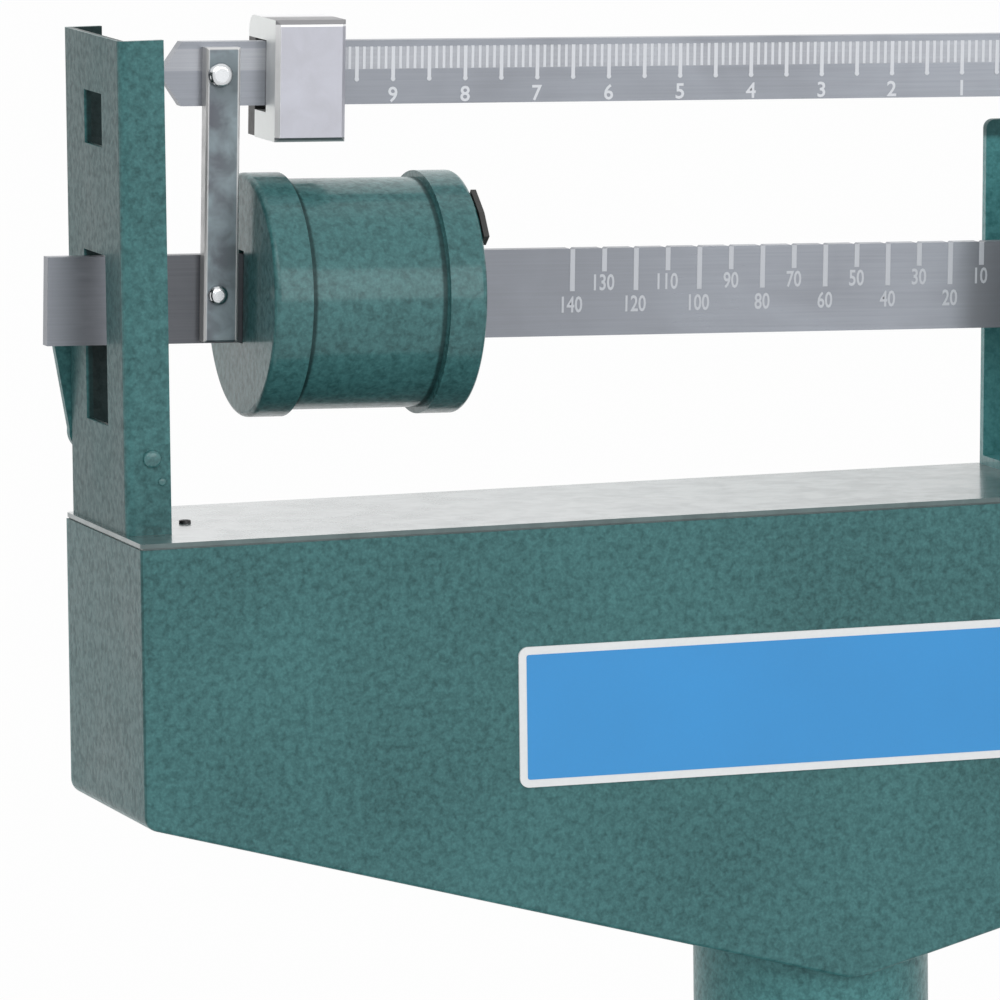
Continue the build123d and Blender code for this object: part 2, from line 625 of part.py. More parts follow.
def block_poise():
    x = (BLOCK_LEFT, BLOCK_LEFT + BLOCK_W)
    z = (FINE_BAR_LOW - BLOCK_BELOW, FINE_TOP + BLOCK_ABOVE)
    body = box(x, (BLOCK_FRONT, BLOCK_REAR), z)
    body = chamfer(body.faces().sort_by(Axis.Y)[0].edges(), BLOCK_BEVEL)
    rear_top = body.edges().filter_by(Axis.X).sort_by(Axis.Z)[-2:].sort_by(Axis.Y)[-1]
    body = fillet(rear_top, BLOCK_ROUND)
    wide = (x[0] - CUT, x[1] + CUT)
    bore_z = (FINE_BAR_LOW - BLOCK_LIP, FINE_TOP + BLOCK_GAP)
    body -= box(wide, (BAR_FRONT - BLOCK_GAP, BLOCK_REAR + CUT), bore_z)
    body -= box(wide, (BLOCK_BODY_REAR, BLOCK_REAR + CUT), (z[0] - CUT, FINE_BAR_LOW))
    beam("block_poise", body)
    plate = box(x, (BLOCK_BODY_REAR, BLOCK_REAR), (z[0] + BACK_RISE, FINE_TOP + BLOCK_GAP))
    plate += box(
        (x[0] + PAD_INSET_X, x[1] - PAD_INSET_X),
        (BAR_REAR + BLOCK_GAP, BLOCK_BODY_REAR),
        (FINE_BAR_LOW + PAD_INSET_Z, FINE_TOP - PAD_INSET_Z),
    )
    beam("block_back", plate)


def transfer_works():
    outer = (ROD_Y - STRAP_REACH, ROD_Y + STRAP_REACH)
    strap_y = ((outer[0], outer[0] + STRAP_T), (outer[1] - STRAP_T, outer[1]))
    straps = []
    for y in strap_y:
        x = (LOAD_X - STRAP_W / 2, LOAD_X + STRAP_W / 2)
        strap = box(x, y, (-TRANSFER_Z - STRAP_END, LOAD_Z + STRAP_END))
        for z in (LOAD_Z, -TRANSFER_Z):
            strap -= rod_y(LOAD_R + LINK_FIT, LOAD_X, (y[0] - CUT, y[1] + CUT), z)
        straps.append(strap)
    spacer = rod_y(STRAP_BAR_R, LOAD_X, (strap_y[0][1], strap_y[1][0]), -TRANSFER_Z / 3)
    head("beam_link", straps[0] + spacer + straps[1])

    lever = box(
        (-TRANSFER_NOSE, TRANSFER_FULCRUM_X + TRANSFER_TAIL),
        (ROD_Y - TRANSFER_T / 2, ROD_Y + TRANSFER_T / 2),
        (-TRANSFER_Z - TRANSFER_H / 2, TRANSFER_H / 2 - TRANSFER_Z),
    )
    reach = STRAP_REACH + PIN_END
    for x, r in ((TRANSFER_FULCRUM_X, TRANSFER_PIN_R), (LOAD_X, LOAD_R), (0, TRANSFER_PIN_R)):
        lever += rod_y(r, x, (ROD_Y - reach, ROD_Y + reach), -TRANSFER_Z)
    head("transfer_lever", lever)

    x = (TRANSFER_FULCRUM_X - BRACKET_HALF, TRANSFER_FULCRUM_X + BRACKET_HALF)
    bracket = box(x, outer, (-LID_T - BRACKET_T, -LID_T))
    for y in strap_y:
        bracket += box(x, y, (-TRANSFER_Z - BRACKET_TAIL, -LID_T))
        through = (y[0] - CUT, y[1] + CUT)
        bracket -= rod_y(TRANSFER_PIN_R + RAIL_FIT, TRANSFER_FULCRUM_X, through, -TRANSFER_Z)
    head("transfer_bracket", bracket)

    pin_z = HEAD_Z - TRANSFER_Z
    yoke = pin_z - TRANSFER_H / 2 - STRAP_END
    fork_x = (-FORK_HALF_X, FORK_HALF_X)
    rod = box(fork_x, outer, (yoke - FORK_T, yoke))
    for y in strap_y:
        rod += box(fork_x, y, (yoke - FORK_T, pin_z + STRAP_END))
        rod -= rod_y(TRANSFER_PIN_R + LINK_FIT, 0, (y[0] - CUT, y[1] + CUT), pin_z)
    ear_in = NOSE_HALF + EAR_GAP
    ear_y = (ROD_Y - FORK_HALF_Y, ROD_Y + FORK_HALF_Y)
    foot = LONG_Z + LEVER_H / 2 + CLEVIS_ROOM
    for s in (-1, 1):
        ear_x = sorted((s * ear_in, s * (ear_in + EAR_T)))
        rod += box(ear_x, ear_y, (LONG_Z - EAR_BELOW, foot + CLEVIS_T))
        rod -= rod_x(LEVER_PIN_R + LINK_FIT, (ear_x[0] - CUT, ear_x[1] + CUT), ROD_Y, LONG_Z)
    rod += box((-ear_in - EAR_T, ear_in + EAR_T), ear_y, (foot, foot + CLEVIS_T))
    rod += rod_z(PULL_ROD_R, 0, ROD_Y, (foot + CLEVIS_T - CUT, yoke - FORK_T + CUT))
    base("pull_rod", rod)


def lever_parts(z, fulcrum, way, reach):
    """The two arms and the pins of a forked lever; way is +1 where its nose points to the column."""
    nose = fulcrum + way * reach
    root = fulcrum - way * ARM_TAIL
    neck = nose - way * NOSE_LEN
    low, high = z - LEVER_H / 2, z + LEVER_H / 2
    half = LEVER_W / 2
    pin_end = PEDESTAL_X + PEDESTAL_W - LEVER_PIN_SHORT
    load = fulcrum + way * SHORT_SIDE
    arms, pins = [], []
    for s in (-1, 1):
        outline = [
            (s * (ARM_FOOT_X - half), root),
            (s * (ARM_FOOT_X + half), root),
            (s * (ARM_NOSE_X + half), neck),
            (s * (ARM_NOSE_X - half), neck),
        ]
        arm = plate_xy(outline, (low, high))
        ends = ((fulcrum, pin_end), (load, POST_X0 + POST_W + POST_PIN_END))
        for y, end in ends:
            span = sorted((s * (ARM_FOOT_X - LEVER_PIN_SPAN), s * end))
            arm -= rod_x(LEVER_PIN_R + SEAT_FIT, span, y, z)
            pins.append(rod_x(LEVER_PIN_R, span, y, z))
        arms.append(arm)
    return arms, pins, nose, neck


def base_levers():
    front = ROD_Y - LONG_ARM
    rear = -REAR_FULCRUM
    short_arm = (rear - front) / 2
    hang = front + short_arm

    arms, pins, nose, neck = lever_parts(LONG_Z, front, 1, LONG_ARM)
    share = (hang - (front - ARM_TAIL)) / (neck - (front - ARM_TAIL))
    bar_x = ARM_FOOT_X + (ARM_NOSE_X - ARM_FOOT_X) * share + LEVER_W / 2 + CROSSBAR_END
    cross = rod_x(CROSSBAR_R + SEAT_FIT, (-bar_x, bar_x), hang, LONG_Z)
    base("long_lever_arms", Compound([arm - cross for arm in arms]))
    pins.append(rod_x(CROSSBAR_R, (-bar_x, bar_x), hang, LONG_Z))
    base("long_lever_pins", Compound(pins))
    z = (LONG_Z - LEVER_H / 2, LONG_Z + LEVER_H / 2)
    block = box((-NOSE_HALF, NOSE_HALF), (neck, nose + NOSE_TAIL), z)
    half = NOSE_HALF + EAR_T + NOSE_PIN_END
    block += rod_x(LEVER_PIN_R, (-half, half), nose, LONG_Z)
    base("long_lever_nose", block)

    arms, pins, nose, neck = lever_parts(SHORT_Z, rear, -1, short_arm)
    base("short_lever_arms", Compound(arms))
    base("short_lever_pins", Compound(pins))
    z = (SHORT_Z - LEVER_H / 2, SHORT_Z + LEVER_H / 2)
    block = box((-NOSE_HALF, NOSE_HALF), (nose - NOSE_TAIL, neck), z)
    half = NOSE_HALF + SHACKLE_T + NOSE_PIN_END
    block += rod_x(LEVER_PIN_R, (-half, half), nose, SHORT_Z)
    base("short_lever_nose", block)

    shackles = []
    for s in (-1, 1):
        x = sorted((s * (NOSE_HALF + EAR_GAP), s * (NOSE_HALF + EAR_GAP + SHACKLE_T)))
        link = box(x, (hang - STRAP_END, hang + STRAP_END), (SHORT_Z - EAR_BELOW, LONG_Z + STRAP_END))
        wide = (x[0] - CUT, x[1] + CUT)
        link -= rod_x(LEVER_PIN_R + LINK_FIT, wide, hang, SHORT_Z)
        shackles.append(link - rod_x(CROSSBAR_R + LINK_FIT, wide, hang, LONG_Z))
    base("lever_shackle", Compound(shackles))

    for end, y, pin_z in (("front", front, LONG_Z), ("rear", rear, SHORT_Z)):
        for side, s in (("left", -1), ("right", 1)):
            x = sorted((s * PEDESTAL_X, s * (PEDESTAL_X + PEDESTAL_W)))
            along = (y - PEDESTAL_LEN / 2, y + PEDESTAL_LEN / 2)
            block = box(x, along, (FOOT_H + RAIL_T, pin_z + PEDESTAL_CAP))
            block -= rod_x(LEVER_PIN_R + RAIL_FIT, (x[0] - CUT, x[1] + CUT), y, pin_z)
            base("pedestal_" + end + "_" + side, block)
    return front + SHORT_SIDE, rear - SHORT_SIDE


def channel(length_axis, outer, span, way):
    """A rail open to the inside, with its web at outer; way is the side that the flanges point to."""
    across = sorted((outer, outer + way * RAIL_W))
    inner = sorted((outer + way * RAIL_T, outer + way * (RAIL_W + CUT)))
    z, hollow = (FOOT_H, RAIL_TOP), (FOOT_H + RAIL_T, RAIL_TOP - RAIL_T)
    if length_axis == "y":
        return box(across, span, z) - box(inner, (span[0] - CUT, span[1] + CUT), hollow)
    return box(span, across, z) - box((span[0] - CUT, span[1] + CUT), inner, hollow)


def base_frame():
    span = (-BASE_FRONT, BASE_REAR)
    base("rail_left", channel("y", -BASE_HALF, span, 1))
    base("rail_right", channel("y", BASE_HALF, span, -1))
    cross = (RAIL_W - BASE_HALF, BASE_HALF - RAIL_W)
    base("rail_front", channel("x", -BASE_FRONT, cross, 1))
    base("rail_rear", channel("x", BASE_REAR, cross, -1))
    inset = FOOT_R + FOOT_INSET_Y
    for end, y in (("front", inset - BASE_FRONT), ("rear", BASE_REAR - inset)):
        for side, s in (("left", -1), ("right", 1)):
            foot = rod_z(FOOT_R, s * (BASE_HALF - FOOT_R - FOOT_INSET_X), y, (0, FOOT_H))
            base("foot_" + end + "_" + side, fillet(foot.edges().sort_by(Axis.Z)[0], FOOT_ROUND))

    floor = RAIL_TOP + DECK_T
    hole = rod_z(PULL_ROD_R + ROD_ROOM, 0, ROD_Y, (RAIL_TOP - CUT, floor + CUT))
    deck = box((-BASE_HALF, BASE_HALF), (-DECK_FRONT, BASE_REAR), (RAIL_TOP, floor))
    deck = fillet(deck.edges().filter_by(Axis.Z), DECK_ROUND)
    flange = rod_z(FLANGE_R, 0, 0, (floor, floor + FLANGE_T))
    flange += rod_z(SOCKET_R, 0, 0, (floor, floor + SOCKET_H))
    flange = fillet(flange.edges().filter_by(GeomType.CIRCLE).sort_by(Axis.Z)[-1], FLANGE_ROUND)
    flange -= rod_z(COLUMN_R + SEAT_FIT, 0, 0, (floor - CUT, floor + SOCKET_H + CUT))
    bolts = []
    for turn in (45, 135, 225, 315):
        x, y = BOLT_PCD / 2 * cos(radians(turn)), BOLT_PCD / 2 * sin(radians(turn))
        deck -= rod_z(BOLT_R + SEAT_FIT, x, y, (RAIL_TOP - CUT, floor + CUT))
        flange -= rod_z(BOLT_R + SEAT_FIT, x, y, (floor - CUT, floor + FLANGE_T + CUT))
        hexagon = extrude(RegularPolygon(BOLT_HEAD_R, 6), amount=BOLT_HEAD_H)
        bolt = rod_z(BOLT_R, x, y, (RAIL_TOP, floor + FLANGE_T))
        bolts.append(bolt + Pos(x, y, floor + FLANGE_T) * hexagon)
    base("rear_deck", deck - hole)
    base("column_flange", flange)
    base("flange_bolts", Compound(bolts))
    top = HEAD_Z - CASING_MID_H + COLUMN_IN
    tube = rod_z(COLUMN_R, 0, 0, (floor, top)) - rod_z(COLUMN_R - COLUMN_WALL, 0, 0, (floor - CUT, top + CUT))
    base("column", tube)


def platform(front_load, rear_load):
    under = RAIL_TOP + PLATFORM_RISE
    top = under + PLATFORM_T
    half = BASE_HALF + PLATFORM_GAP + PLATFORM_RIM_T
    y = (-PLATFORM_FRONT, -DECK_FRONT - PLATFORM_TO_DECK)
    plate = box((-half, half), y, (top - PLATFORM_RIM, top))
    plate = fillet(plate.edges().filter_by(Axis.Z), PLATFORM_CORNER)
    inside = box(
        (PLATFORM_RIM_T - half, half - PLATFORM_RIM_T),
        (y[0] + PLATFORM_RIM_T, y[1] + CUT),
        (top - PLATFORM_RIM - CUT, under),
    )
    base("platform_plate", fillet((plate - inside).faces().sort_by(Axis.Z)[-1].edges(), PLATFORM_ROUND))
    posts = []
    for load, pin_z in ((front_load, LONG_Z), (rear_load, SHORT_Z)):
        for s in (-1, 1):
            x = sorted((s * POST_X0, s * (POST_X0 + POST_W)))
            post = box(x, (load - POST_LEN / 2, load + POST_LEN / 2), (pin_z - POST_BELOW, under))
            posts.append(post - rod_x(LEVER_PIN_R + LINK_FIT, (x[0] - CUT, x[1] + CUT), load, pin_z))
    base("platform_posts", Compound(posts))


casing()
guide_upright()
beam_lock()
fulcrum_stand()
beam_bars()
balance_weight()
drum_poise()
drum_pawl()
block_poise()
transfer_works()
base_frame()
platform(*base_levers())

os.makedirs("parts", exist_ok=True)
for name, shape in parts.items():
    export_step(shape, f"parts/{name}.step")
print(len(parts), "pieces")
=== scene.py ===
import math

import bmesh
import bpy
from mathutils import Matrix, Vector


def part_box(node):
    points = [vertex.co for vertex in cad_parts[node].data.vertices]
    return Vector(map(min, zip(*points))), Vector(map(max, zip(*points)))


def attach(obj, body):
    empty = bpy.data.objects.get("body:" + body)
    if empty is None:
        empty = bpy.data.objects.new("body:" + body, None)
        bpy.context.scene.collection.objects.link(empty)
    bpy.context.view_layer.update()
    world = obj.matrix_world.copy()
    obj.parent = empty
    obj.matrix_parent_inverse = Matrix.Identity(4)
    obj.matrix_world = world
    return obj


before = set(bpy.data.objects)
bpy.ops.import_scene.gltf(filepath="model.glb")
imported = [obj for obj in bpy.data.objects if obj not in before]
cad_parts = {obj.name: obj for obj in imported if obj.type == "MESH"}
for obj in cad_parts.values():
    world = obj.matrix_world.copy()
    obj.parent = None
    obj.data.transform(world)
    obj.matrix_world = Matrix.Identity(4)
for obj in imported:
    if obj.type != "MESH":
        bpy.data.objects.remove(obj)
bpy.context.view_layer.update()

bl_info = {
    "name": "Column Platform Scale",
    "version": (1, 0, 0),
    "blender": (4, 5, 0),
    "location": "View3D > Sidebar > Scale",
    "description": "Finishes, graduations and fittings of a mechanical column platform scale",
    "category": "Object",
}

MM = 0.001
CASING_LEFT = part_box("casing")[0].x
LID_LOW, LID_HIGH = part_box("casing_lid")
COLUMN_LOW, COLUMN_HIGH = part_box("column")
LABEL_LOW, LABEL_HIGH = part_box("label_plate")
PLATFORM_LOW, PLATFORM_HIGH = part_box("platform_plate")
STAND_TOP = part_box("stand_rear")[1].z

# The head's own frame: over the column's axis, at the top of the casing's lid
HEAD = Vector((0.0, (COLUMN_LOW.y + COLUMN_HIGH.y) / 2, LID_HIGH.z))

# The level beam, in the head's frame
FULCRUM_X = 96.0 * MM
BAR_FACE = 14.7 * MM
MAIN_LOW = 47.2 * MM
MAIN_TOP = 75.4 * MM
FINE_LOW = 122.7 * MM
FINE_TOP = 143.1 * MM
BEAM_TILT = math.radians(1.6)
BLOCK_LEFT = -177.8 * MM
BLOCK_FRONT = 3.2 * MM
BLOCK_LOW = 111.8 * MM
BLOCK_TOP = 150.5 * MM
UPRIGHT_X = -234.5 * MM
UPRIGHT_FRONT = -22.4 * MM
UPRIGHT_REAR = 41.0 * MM
UPRIGHT_T = 2.2 * MM
DRUM_LEFT = -184.6 * MM
DRUM_RIGHT = -114.3 * MM
CAP_LEN = 12.4 * MM
SEAM = 2.4 * MM
LINK_LEFT = -198.8 * MM
LINK_RIGHT = 126.0 * MM
LINK_W = 11.2 * MM
LINK_EDGE = 1.1 * MM
RIVET_UP = 8.0 * MM  # above the lower edge of the fine bar

# Painted reflection and shade along each bar: place on the level beam, and share of the bar's steel colour
MAIN_REFLECTION_TONES = (
    (-0.250, 1.2), (-0.224, 1.3), (-0.219, 0.36), (-0.199, 0.34), (-0.112, 1.0), (-0.02, 1.35),
    (0.058, 1.5), (0.066, 0.95), (0.151, 0.9),
)
FINE_REFLECTION_TONES = ((-0.213, 1.3), (-0.16, 1.25), (0.0, 1.4), (0.138, 2.0))
SHELTERED = (56.0 * MM, 66.0 * MM)  # the main bar passes from ground to unground between these

# Marks and numbers; a drop is how far a number's top is below the top of its bar
MARK_THICK = 0.12 * MM
MARK_EASE = MARK_THICK * 0.6
MAIN_MARK_TOP = MAIN_TOP - 0.2 * MM
MAIN_MARK_W = 1.7 * MM
MAIN_LONG = 13.6 * MM
MAIN_SHORT = 7.4 * MM
MAIN_LONG_DROP = 15.4 * MM
MAIN_SHORT_DROP = 8.4 * MM
MAIN_DIGIT = 5.3 * MM
FINE_MARK_TOP = FINE_TOP - 2.0 * MM
FINE_LONG_W = 1.3 * MM
FINE_LONG = 10.2 * MM
FINE_SHORT_W = 1.0 * MM
FINE_SHORT = 7.2 * MM
FINE_DOT_R = 0.8 * MM
FINE_DOT_DOWN = 10.4 * MM  # below the top of the marks
FINE_DROP = 14.9 * MM
FINE_DIGIT = 5.0 * MM
FINE_BAND = (FINE_TOP - 9.4 * MM, FINE_MARK_TOP)

# Rivets on the upright: radius, then X and Z in the head's frame
RIVETS = ((2.9 * MM, -226.1 * MM, 24.1 * MM), (1.3 * MM, -222.9 * MM, 16.7 * MM))

# Screws on the lid, in the head's frame
SCREW_X = 208.6 * MM
SCREW_Y = 1.8 * MM
SCREW_R = 1.9 * MM

# Label, rail ends and platform
LABEL_BORDER = 2.5 * MM
RAIL_WALL = 3.0 * MM
END_SUNK = 0.4 * MM
END_THICK = 2.5 * MM
TREAD_STEP = 34.0 * MM
TREAD_HALF = 12.0 * MM
TREAD_RISE = 1.1 * MM

FRONT_TURN = (math.pi / 2, 0, 0)  # turns a disc's face to the front


class StageSettings(bpy.types.PropertyGroup):
    eye: bpy.props.FloatVectorProperty(
        name="Camera place", description="Where the camera stands", default=(-1.0860, -2.7552, 1.3682),
        size=3, subtype="TRANSLATION", unit="LENGTH",
    )
    yaw: bpy.props.FloatProperty(
        name="Turn", description="How far the camera looks to the right of straight ahead",
        default=math.radians(18.062), subtype="ANGLE", unit="ROTATION",
    )
    pitch: bpy.props.FloatProperty(
        name="Dip", description="How far the camera looks down", default=math.radians(7.397),
        subtype="ANGLE", unit="ROTATION",
    )
    roll: bpy.props.FloatProperty(
        name="Roll", description="How far the camera leans", default=math.radians(-0.707),
        subtype="ANGLE", unit="ROTATION",
    )
    lens: bpy.props.FloatProperty(
        name="Lens", description="Focal length on a 36 mm sensor", default=359.6, min=1.0, unit="CAMERA",
    )
    floor_size: bpy.props.FloatProperty(
        name="Floor", description="Side of the square floor", default=120.0, min=1.0, unit="LENGTH",
    )


class PaintSettings(bpy.types.PropertyGroup):
    enamel_dark: bpy.props.FloatVectorProperty(
        name="Enamel, veins", description="Colour in the hollows of the hammered enamel",
        default=(0.019, 0.080, 0.083), size=3, subtype="COLOR", min=0.0, max=1.0,
    )
    enamel_light: bpy.props.FloatVectorProperty(
        name="Enamel, crowns", description="Colour on the crowns of the hammered enamel",
        default=(0.060, 0.192, 0.196), size=3, subtype="COLOR", min=0.0, max=1.0,
    )
    cell: bpy.props.FloatProperty(
        name="Hammer cell", description="Size of one blotch of the hammered enamel", default=2.0 * MM,
        min=0.1 * MM, precision=5, unit="LENGTH",
    )
    steel: bpy.props.FloatVectorProperty(
        name="Bar steel", description="Colour of the ground beam bars", default=(0.225, 0.240, 0.268),
        size=3, subtype="COLOR", min=0.0, max=1.0,
    )
    label: bpy.props.FloatVectorProperty(
        name="Label field", description="Colour of the bare field of the label",
        default=(0.010, 0.255, 0.610), size=3, subtype="COLOR", min=0.0, max=1.0,
    )


class BeamSettings(bpy.types.PropertyGroup):
    main_zero: bpy.props.FloatProperty(
        name="Main zero", description="Place of the main bar's zero mark along the level beam",
        default=77.0 * MM, precision=4, unit="LENGTH",
    )
    main_step: bpy.props.FloatProperty(
        name="Main step", description="Distance between the main bar's marks", default=10.8 * MM,
        precision=4, unit="LENGTH",
    )
    fine_zero: bpy.props.FloatProperty(
        name="Fine zero", description="Place of the fine bar's zero mark along the level beam",
        default=82.3 * MM, precision=4, unit="LENGTH",
    )
    fine_step: bpy.props.FloatProperty(
        name="Fine step", description="Distance between two whole numbers of the fine bar",
        default=24.2 * MM, precision=4, unit="LENGTH",
    )


class Val:
    """A shader socket that takes part in arithmetic; each operation adds a Math node."""

    def __init__(self, finish, socket):
        self.finish = finish
        self.socket = socket

    def math(self, operation, *values):
        node = self.finish.node("ShaderNodeMath", {"operation": operation}, dict(enumerate(values)))
        return Val(self.finish, node.outputs[0])

    def __add__(self, other):
        return self.math("ADD", self, other)

    def __radd__(self, other):
        return self.math("ADD", other, self)

    def __sub__(self, other):
        return self.math("SUBTRACT", self, other)

    def __rsub__(self, other):
        return self.math("SUBTRACT", other, self)

    def __mul__(self, other):
        return self.math("MULTIPLY", self, other)

    def __rmul__(self, other):
        return self.math("MULTIPLY", other, self)

    def __gt__(self, other):
        return self.math("GREATER_THAN", self, other)

    def __lt__(self, other):
        return self.math("LESS_THAN", self, other)

    def abs(self):
        return self.math("ABSOLUTE", self)

    def clamp(self):
        node = self.finish.node("ShaderNodeClamp", {}, {"Value": self, "Min": 0.0, "Max": 1.0})
        return Val(self.finish, node.outputs[0])


class Finish:
    """The nodes of one procedural material, read in object coordinates, or of the world."""

    def __init__(self, name, world=None):
        self.material = world or bpy.data.materials.new(name)
        self.material.use_nodes = True
        self.tree = self.material.node_tree
        self.tree.nodes.clear()
        self.output = self.tree.nodes.new("ShaderNodeOutputWorld" if world else "ShaderNodeOutputMaterial")
        self.coords = Val(self, self.tree.nodes.new("ShaderNodeTexCoord").outputs["Object"])

    def node(self, kind, settings, sockets):
        node = self.tree.nodes.new(kind)
        for key, value in settings.items():
            if key == "stops":
                ramp = node.color_ramp
                while len(ramp.elements) < len(value):
                    ramp.elements.new(1.0)
                for element, (place, colour) in zip(ramp.elements, value):
                    element.position = place
                    element.color = (*colour, 1.0)
            else:
                setattr(node, key, value)
        for key, value in sockets.items():
            if isinstance(value, Val):
                self.tree.links.new(value.socket, node.inputs[key])
            elif value is not None:
                node.inputs[key].default_value = value
        return node

    def value(self, kind, settings, sockets, output=0):
        return Val(self, self.node(kind, settings, sockets).outputs[output])

    def place(self, scale=(1, 1, 1), turn=(0, 0, 0), at=(0, 0, 0)):
        """Object coordinates moved, turned and stretched."""
        sockets = {"Vector": self.coords, "Location": at, "Rotation": turn, "Scale": scale}
        return self.value("ShaderNodeMapping", {}, sockets)

    def axes(self, vector=None):
        split = self.node("ShaderNodeSeparateXYZ", {}, {0: vector or self.coords})
        return [Val(self, split.outputs[n]) for n in range(3)]

    def noise(self, scale, detail=2.0, rough=0.5, vector=None, distortion=0.0):
        sockets = {
            "Vector": vector or self.coords, "Scale": scale, "Detail": detail, "Roughness": rough,
            "Distortion": distortion,
        }
        return self.value("ShaderNodeTexNoise", {}, sockets)

    def head(self):
        """Coordinates in the head's frame."""
        return self.place(at=[-v for v in HEAD])

    def level(self, scale=(1, 1, 1)):
        """Coordinates in the frame of the level beam, stretched by scale."""
        pivot = Vector((FULCRUM_X, 0.0, (MAIN_LOW + MAIN_TOP) / 2))
        back = pivot - Matrix.Rotation(-BEAM_TILT, 3, "Y") @ (HEAD + pivot)
        level = self.place(turn=(0, -BEAM_TILT, 0), at=back)
        if scale == (1, 1, 1):
            return level
        return self.value("ShaderNodeVectorMath", {"operation": "MULTIPLY"}, {0: level, 1: scale})

    def ramp(self, value, *stops):
        return self.value("ShaderNodeValToRGB", {"stops": stops}, {"Fac": value})

    def between(self, value, low, high):
        """Value carried from low..high to 0..1 and kept there."""
        sockets = {"Value": value, "From Min": low, "From Max": high}
        return self.value("ShaderNodeMapRange", {"clamp": True}, sockets)

    def mix(self, factor, first, second):
        settings = {"data_type": "RGBA"}
        first, second = [v if isinstance(v, Val) else (*v, 1.0) for v in (first, second)]
        return self.value("ShaderNodeMix", settings, {0: factor, 6: first, 7: second}, 2)

    def bump(self, height, strength, distance):
        sockets = {"Height": height, "Strength": strength, "Distance": distance}
        return self.value("ShaderNodeBump", {}, sockets)

    def backdrop(self, kind, settings, share):
        """Lights the object by kind, and shows that share of white to the camera and in gloss."""
        plain = self.value(kind, {}, settings)
        glow = "ShaderNodeBackground" if kind == "ShaderNodeBackground" else "ShaderNodeEmission"
        white = self.value(glow, {}, {"Color": (1, 1, 1, 1), "Strength": 1.0})
        path = self.node("ShaderNodeLightPath", {}, {})
        seen, mirrored, through = [
            Val(self, path.outputs[ray]) for ray in ("Is Camera Ray", "Is Glossy Ray", "Is Transmission Ray")
        ]
        factor = (seen + mirrored + through).clamp() * share
        mixed = self.node("ShaderNodeMixShader", {}, {0: factor, 1: plain, 2: white})
        self.tree.links.new(mixed.outputs[0], self.output.inputs["Surface"])

    def surface(self, **sockets):
        values = {key.replace("_", " "): value for key, value in sockets.items()}
        shader = self.node("ShaderNodeBsdfPrincipled", {}, values)
        self.tree.links.new(shader.outputs[0], self.output.inputs["Surface"])
        return self.material


def hammered_enamel(finish, dark, light, cell, coat=0.26, gloss=0.2, relief=1.0, shade=None):
    """Soft blotches with a few dark hollows under a wavy coat. A shade from 0 to 1 darkens and dulls."""
    wide = finish.noise(0.8 / cell, 2.0, 0.5, distortion=0.35)
    small = finish.noise(2.1 / cell, 2.0, 0.5, distortion=0.2)
    cloud = finish.noise(0.04 / cell, 3.0, 0.5)
    hollow = finish.between(wide, 0.30, 0.62)
    fleck = finish.between(small, 0.40, 0.75)
    tone = (hollow * 0.55 + fleck * 0.4 + (cloud - 0.5) * 0.7 + 0.06).clamp()
    colour = finish.mix(tone, dark, light)
    weight = coat
    if shade is not None:
        colour = finish.mix(shade * 0.86, colour, [c * 0.12 for c in dark])
        weight = (1 - shade) * coat
    return finish.surface(
        Base_Color=colour,
        Specular_IOR_Level=gloss,
        Roughness=0.38 + (1 - hollow) * 0.12 + (cloud - 0.5) * 0.2,
        Coat_Weight=weight,
        Coat_Roughness=0.14,
        Normal=finish.bump(hollow * 0.8 + small * 0.7, 0.3 * relief, cell * 0.1),
    )


def upright_enamel(dark, light, cell):
    """The upright's enamel, with painted shade darkening and dulling it inside the channel, and less of it on
    the outer face of its web.
    """
    finish = Finish("hammered_upright")
    x, y, _ = finish.axes(finish.head())
    # Painted shade inside the channel, between its flanges
    deep = finish.between(x, UPRIGHT_X + UPRIGHT_T * 0.05, UPRIGHT_X + UPRIGHT_T * 0.5)
    deep = deep * (y > (UPRIGHT_FRONT + UPRIGHT_T * 0.7)) * (y < (UPRIGHT_REAR - UPRIGHT_T * 0.7))
    # Painted shade, weaker, on the outer face of the web
    outer = (x < (UPRIGHT_X + UPRIGHT_T * 0.04)) * 0.55
    return hammered_enamel(finish, dark, light, cell, shade=(deep + outer).clamp())


def casing_enamel(dark, light, cell):
    """The casing's enamel, with painted shade darkening and dulling its left end."""
    finish = Finish("hammered_enamel")
    x, _, _ = finish.axes()
    # Painted shade on the casing's left end face
    return hammered_enamel(finish, dark, light, cell, shade=(x < (CASING_LEFT + 0.6 * MM)) * 0.4)


def stand_enamel(dark, light, cell):
    """The stands' enamel, with painted shade along their top edge."""
    finish = Finish("hammered_stand")
    _, _, z = finish.axes()
    # Painted shade along the top of the stands
    top = finish.between(z, STAND_TOP - 6.5 * MM, STAND_TOP - 5.0 * MM)
    return hammered_enamel(finish, dark, light, cell, 0.6, shade=top * 0.8)


def lid_enamel(dark, light, cell):
    """The lid's smooth gloss enamel, less glossy to the right."""
    finish = Finish("gloss_lid")
    x, _, _ = finish.axes()
    coat = 1 - finish.between(x, LID_LOW.x + 0.05, 0.02) * 0.3
    return hammered_enamel(finish, dark, light, cell, coat, 0.6, 0.1)


def drum_enamel(dark, light, cell):
    """The drum's enamel, with a dark line where each cap's rim ends on the body."""
    finish = Finish("hammered_drum")
    x, _, _ = finish.axes(finish.level())
    from_left = (x - (DRUM_LEFT + CAP_LEN + SEAM / 2)).abs()
    from_right = (x - (DRUM_RIGHT - CAP_LEN - SEAM / 2)).abs()
    seam = finish.between(from_left, SEAM / 2, SEAM / 5) + finish.between(from_right, SEAM / 2, SEAM / 5)
    return hammered_enamel(finish, dark, light, cell, 0.5, shade=seam.clamp() * 0.8)


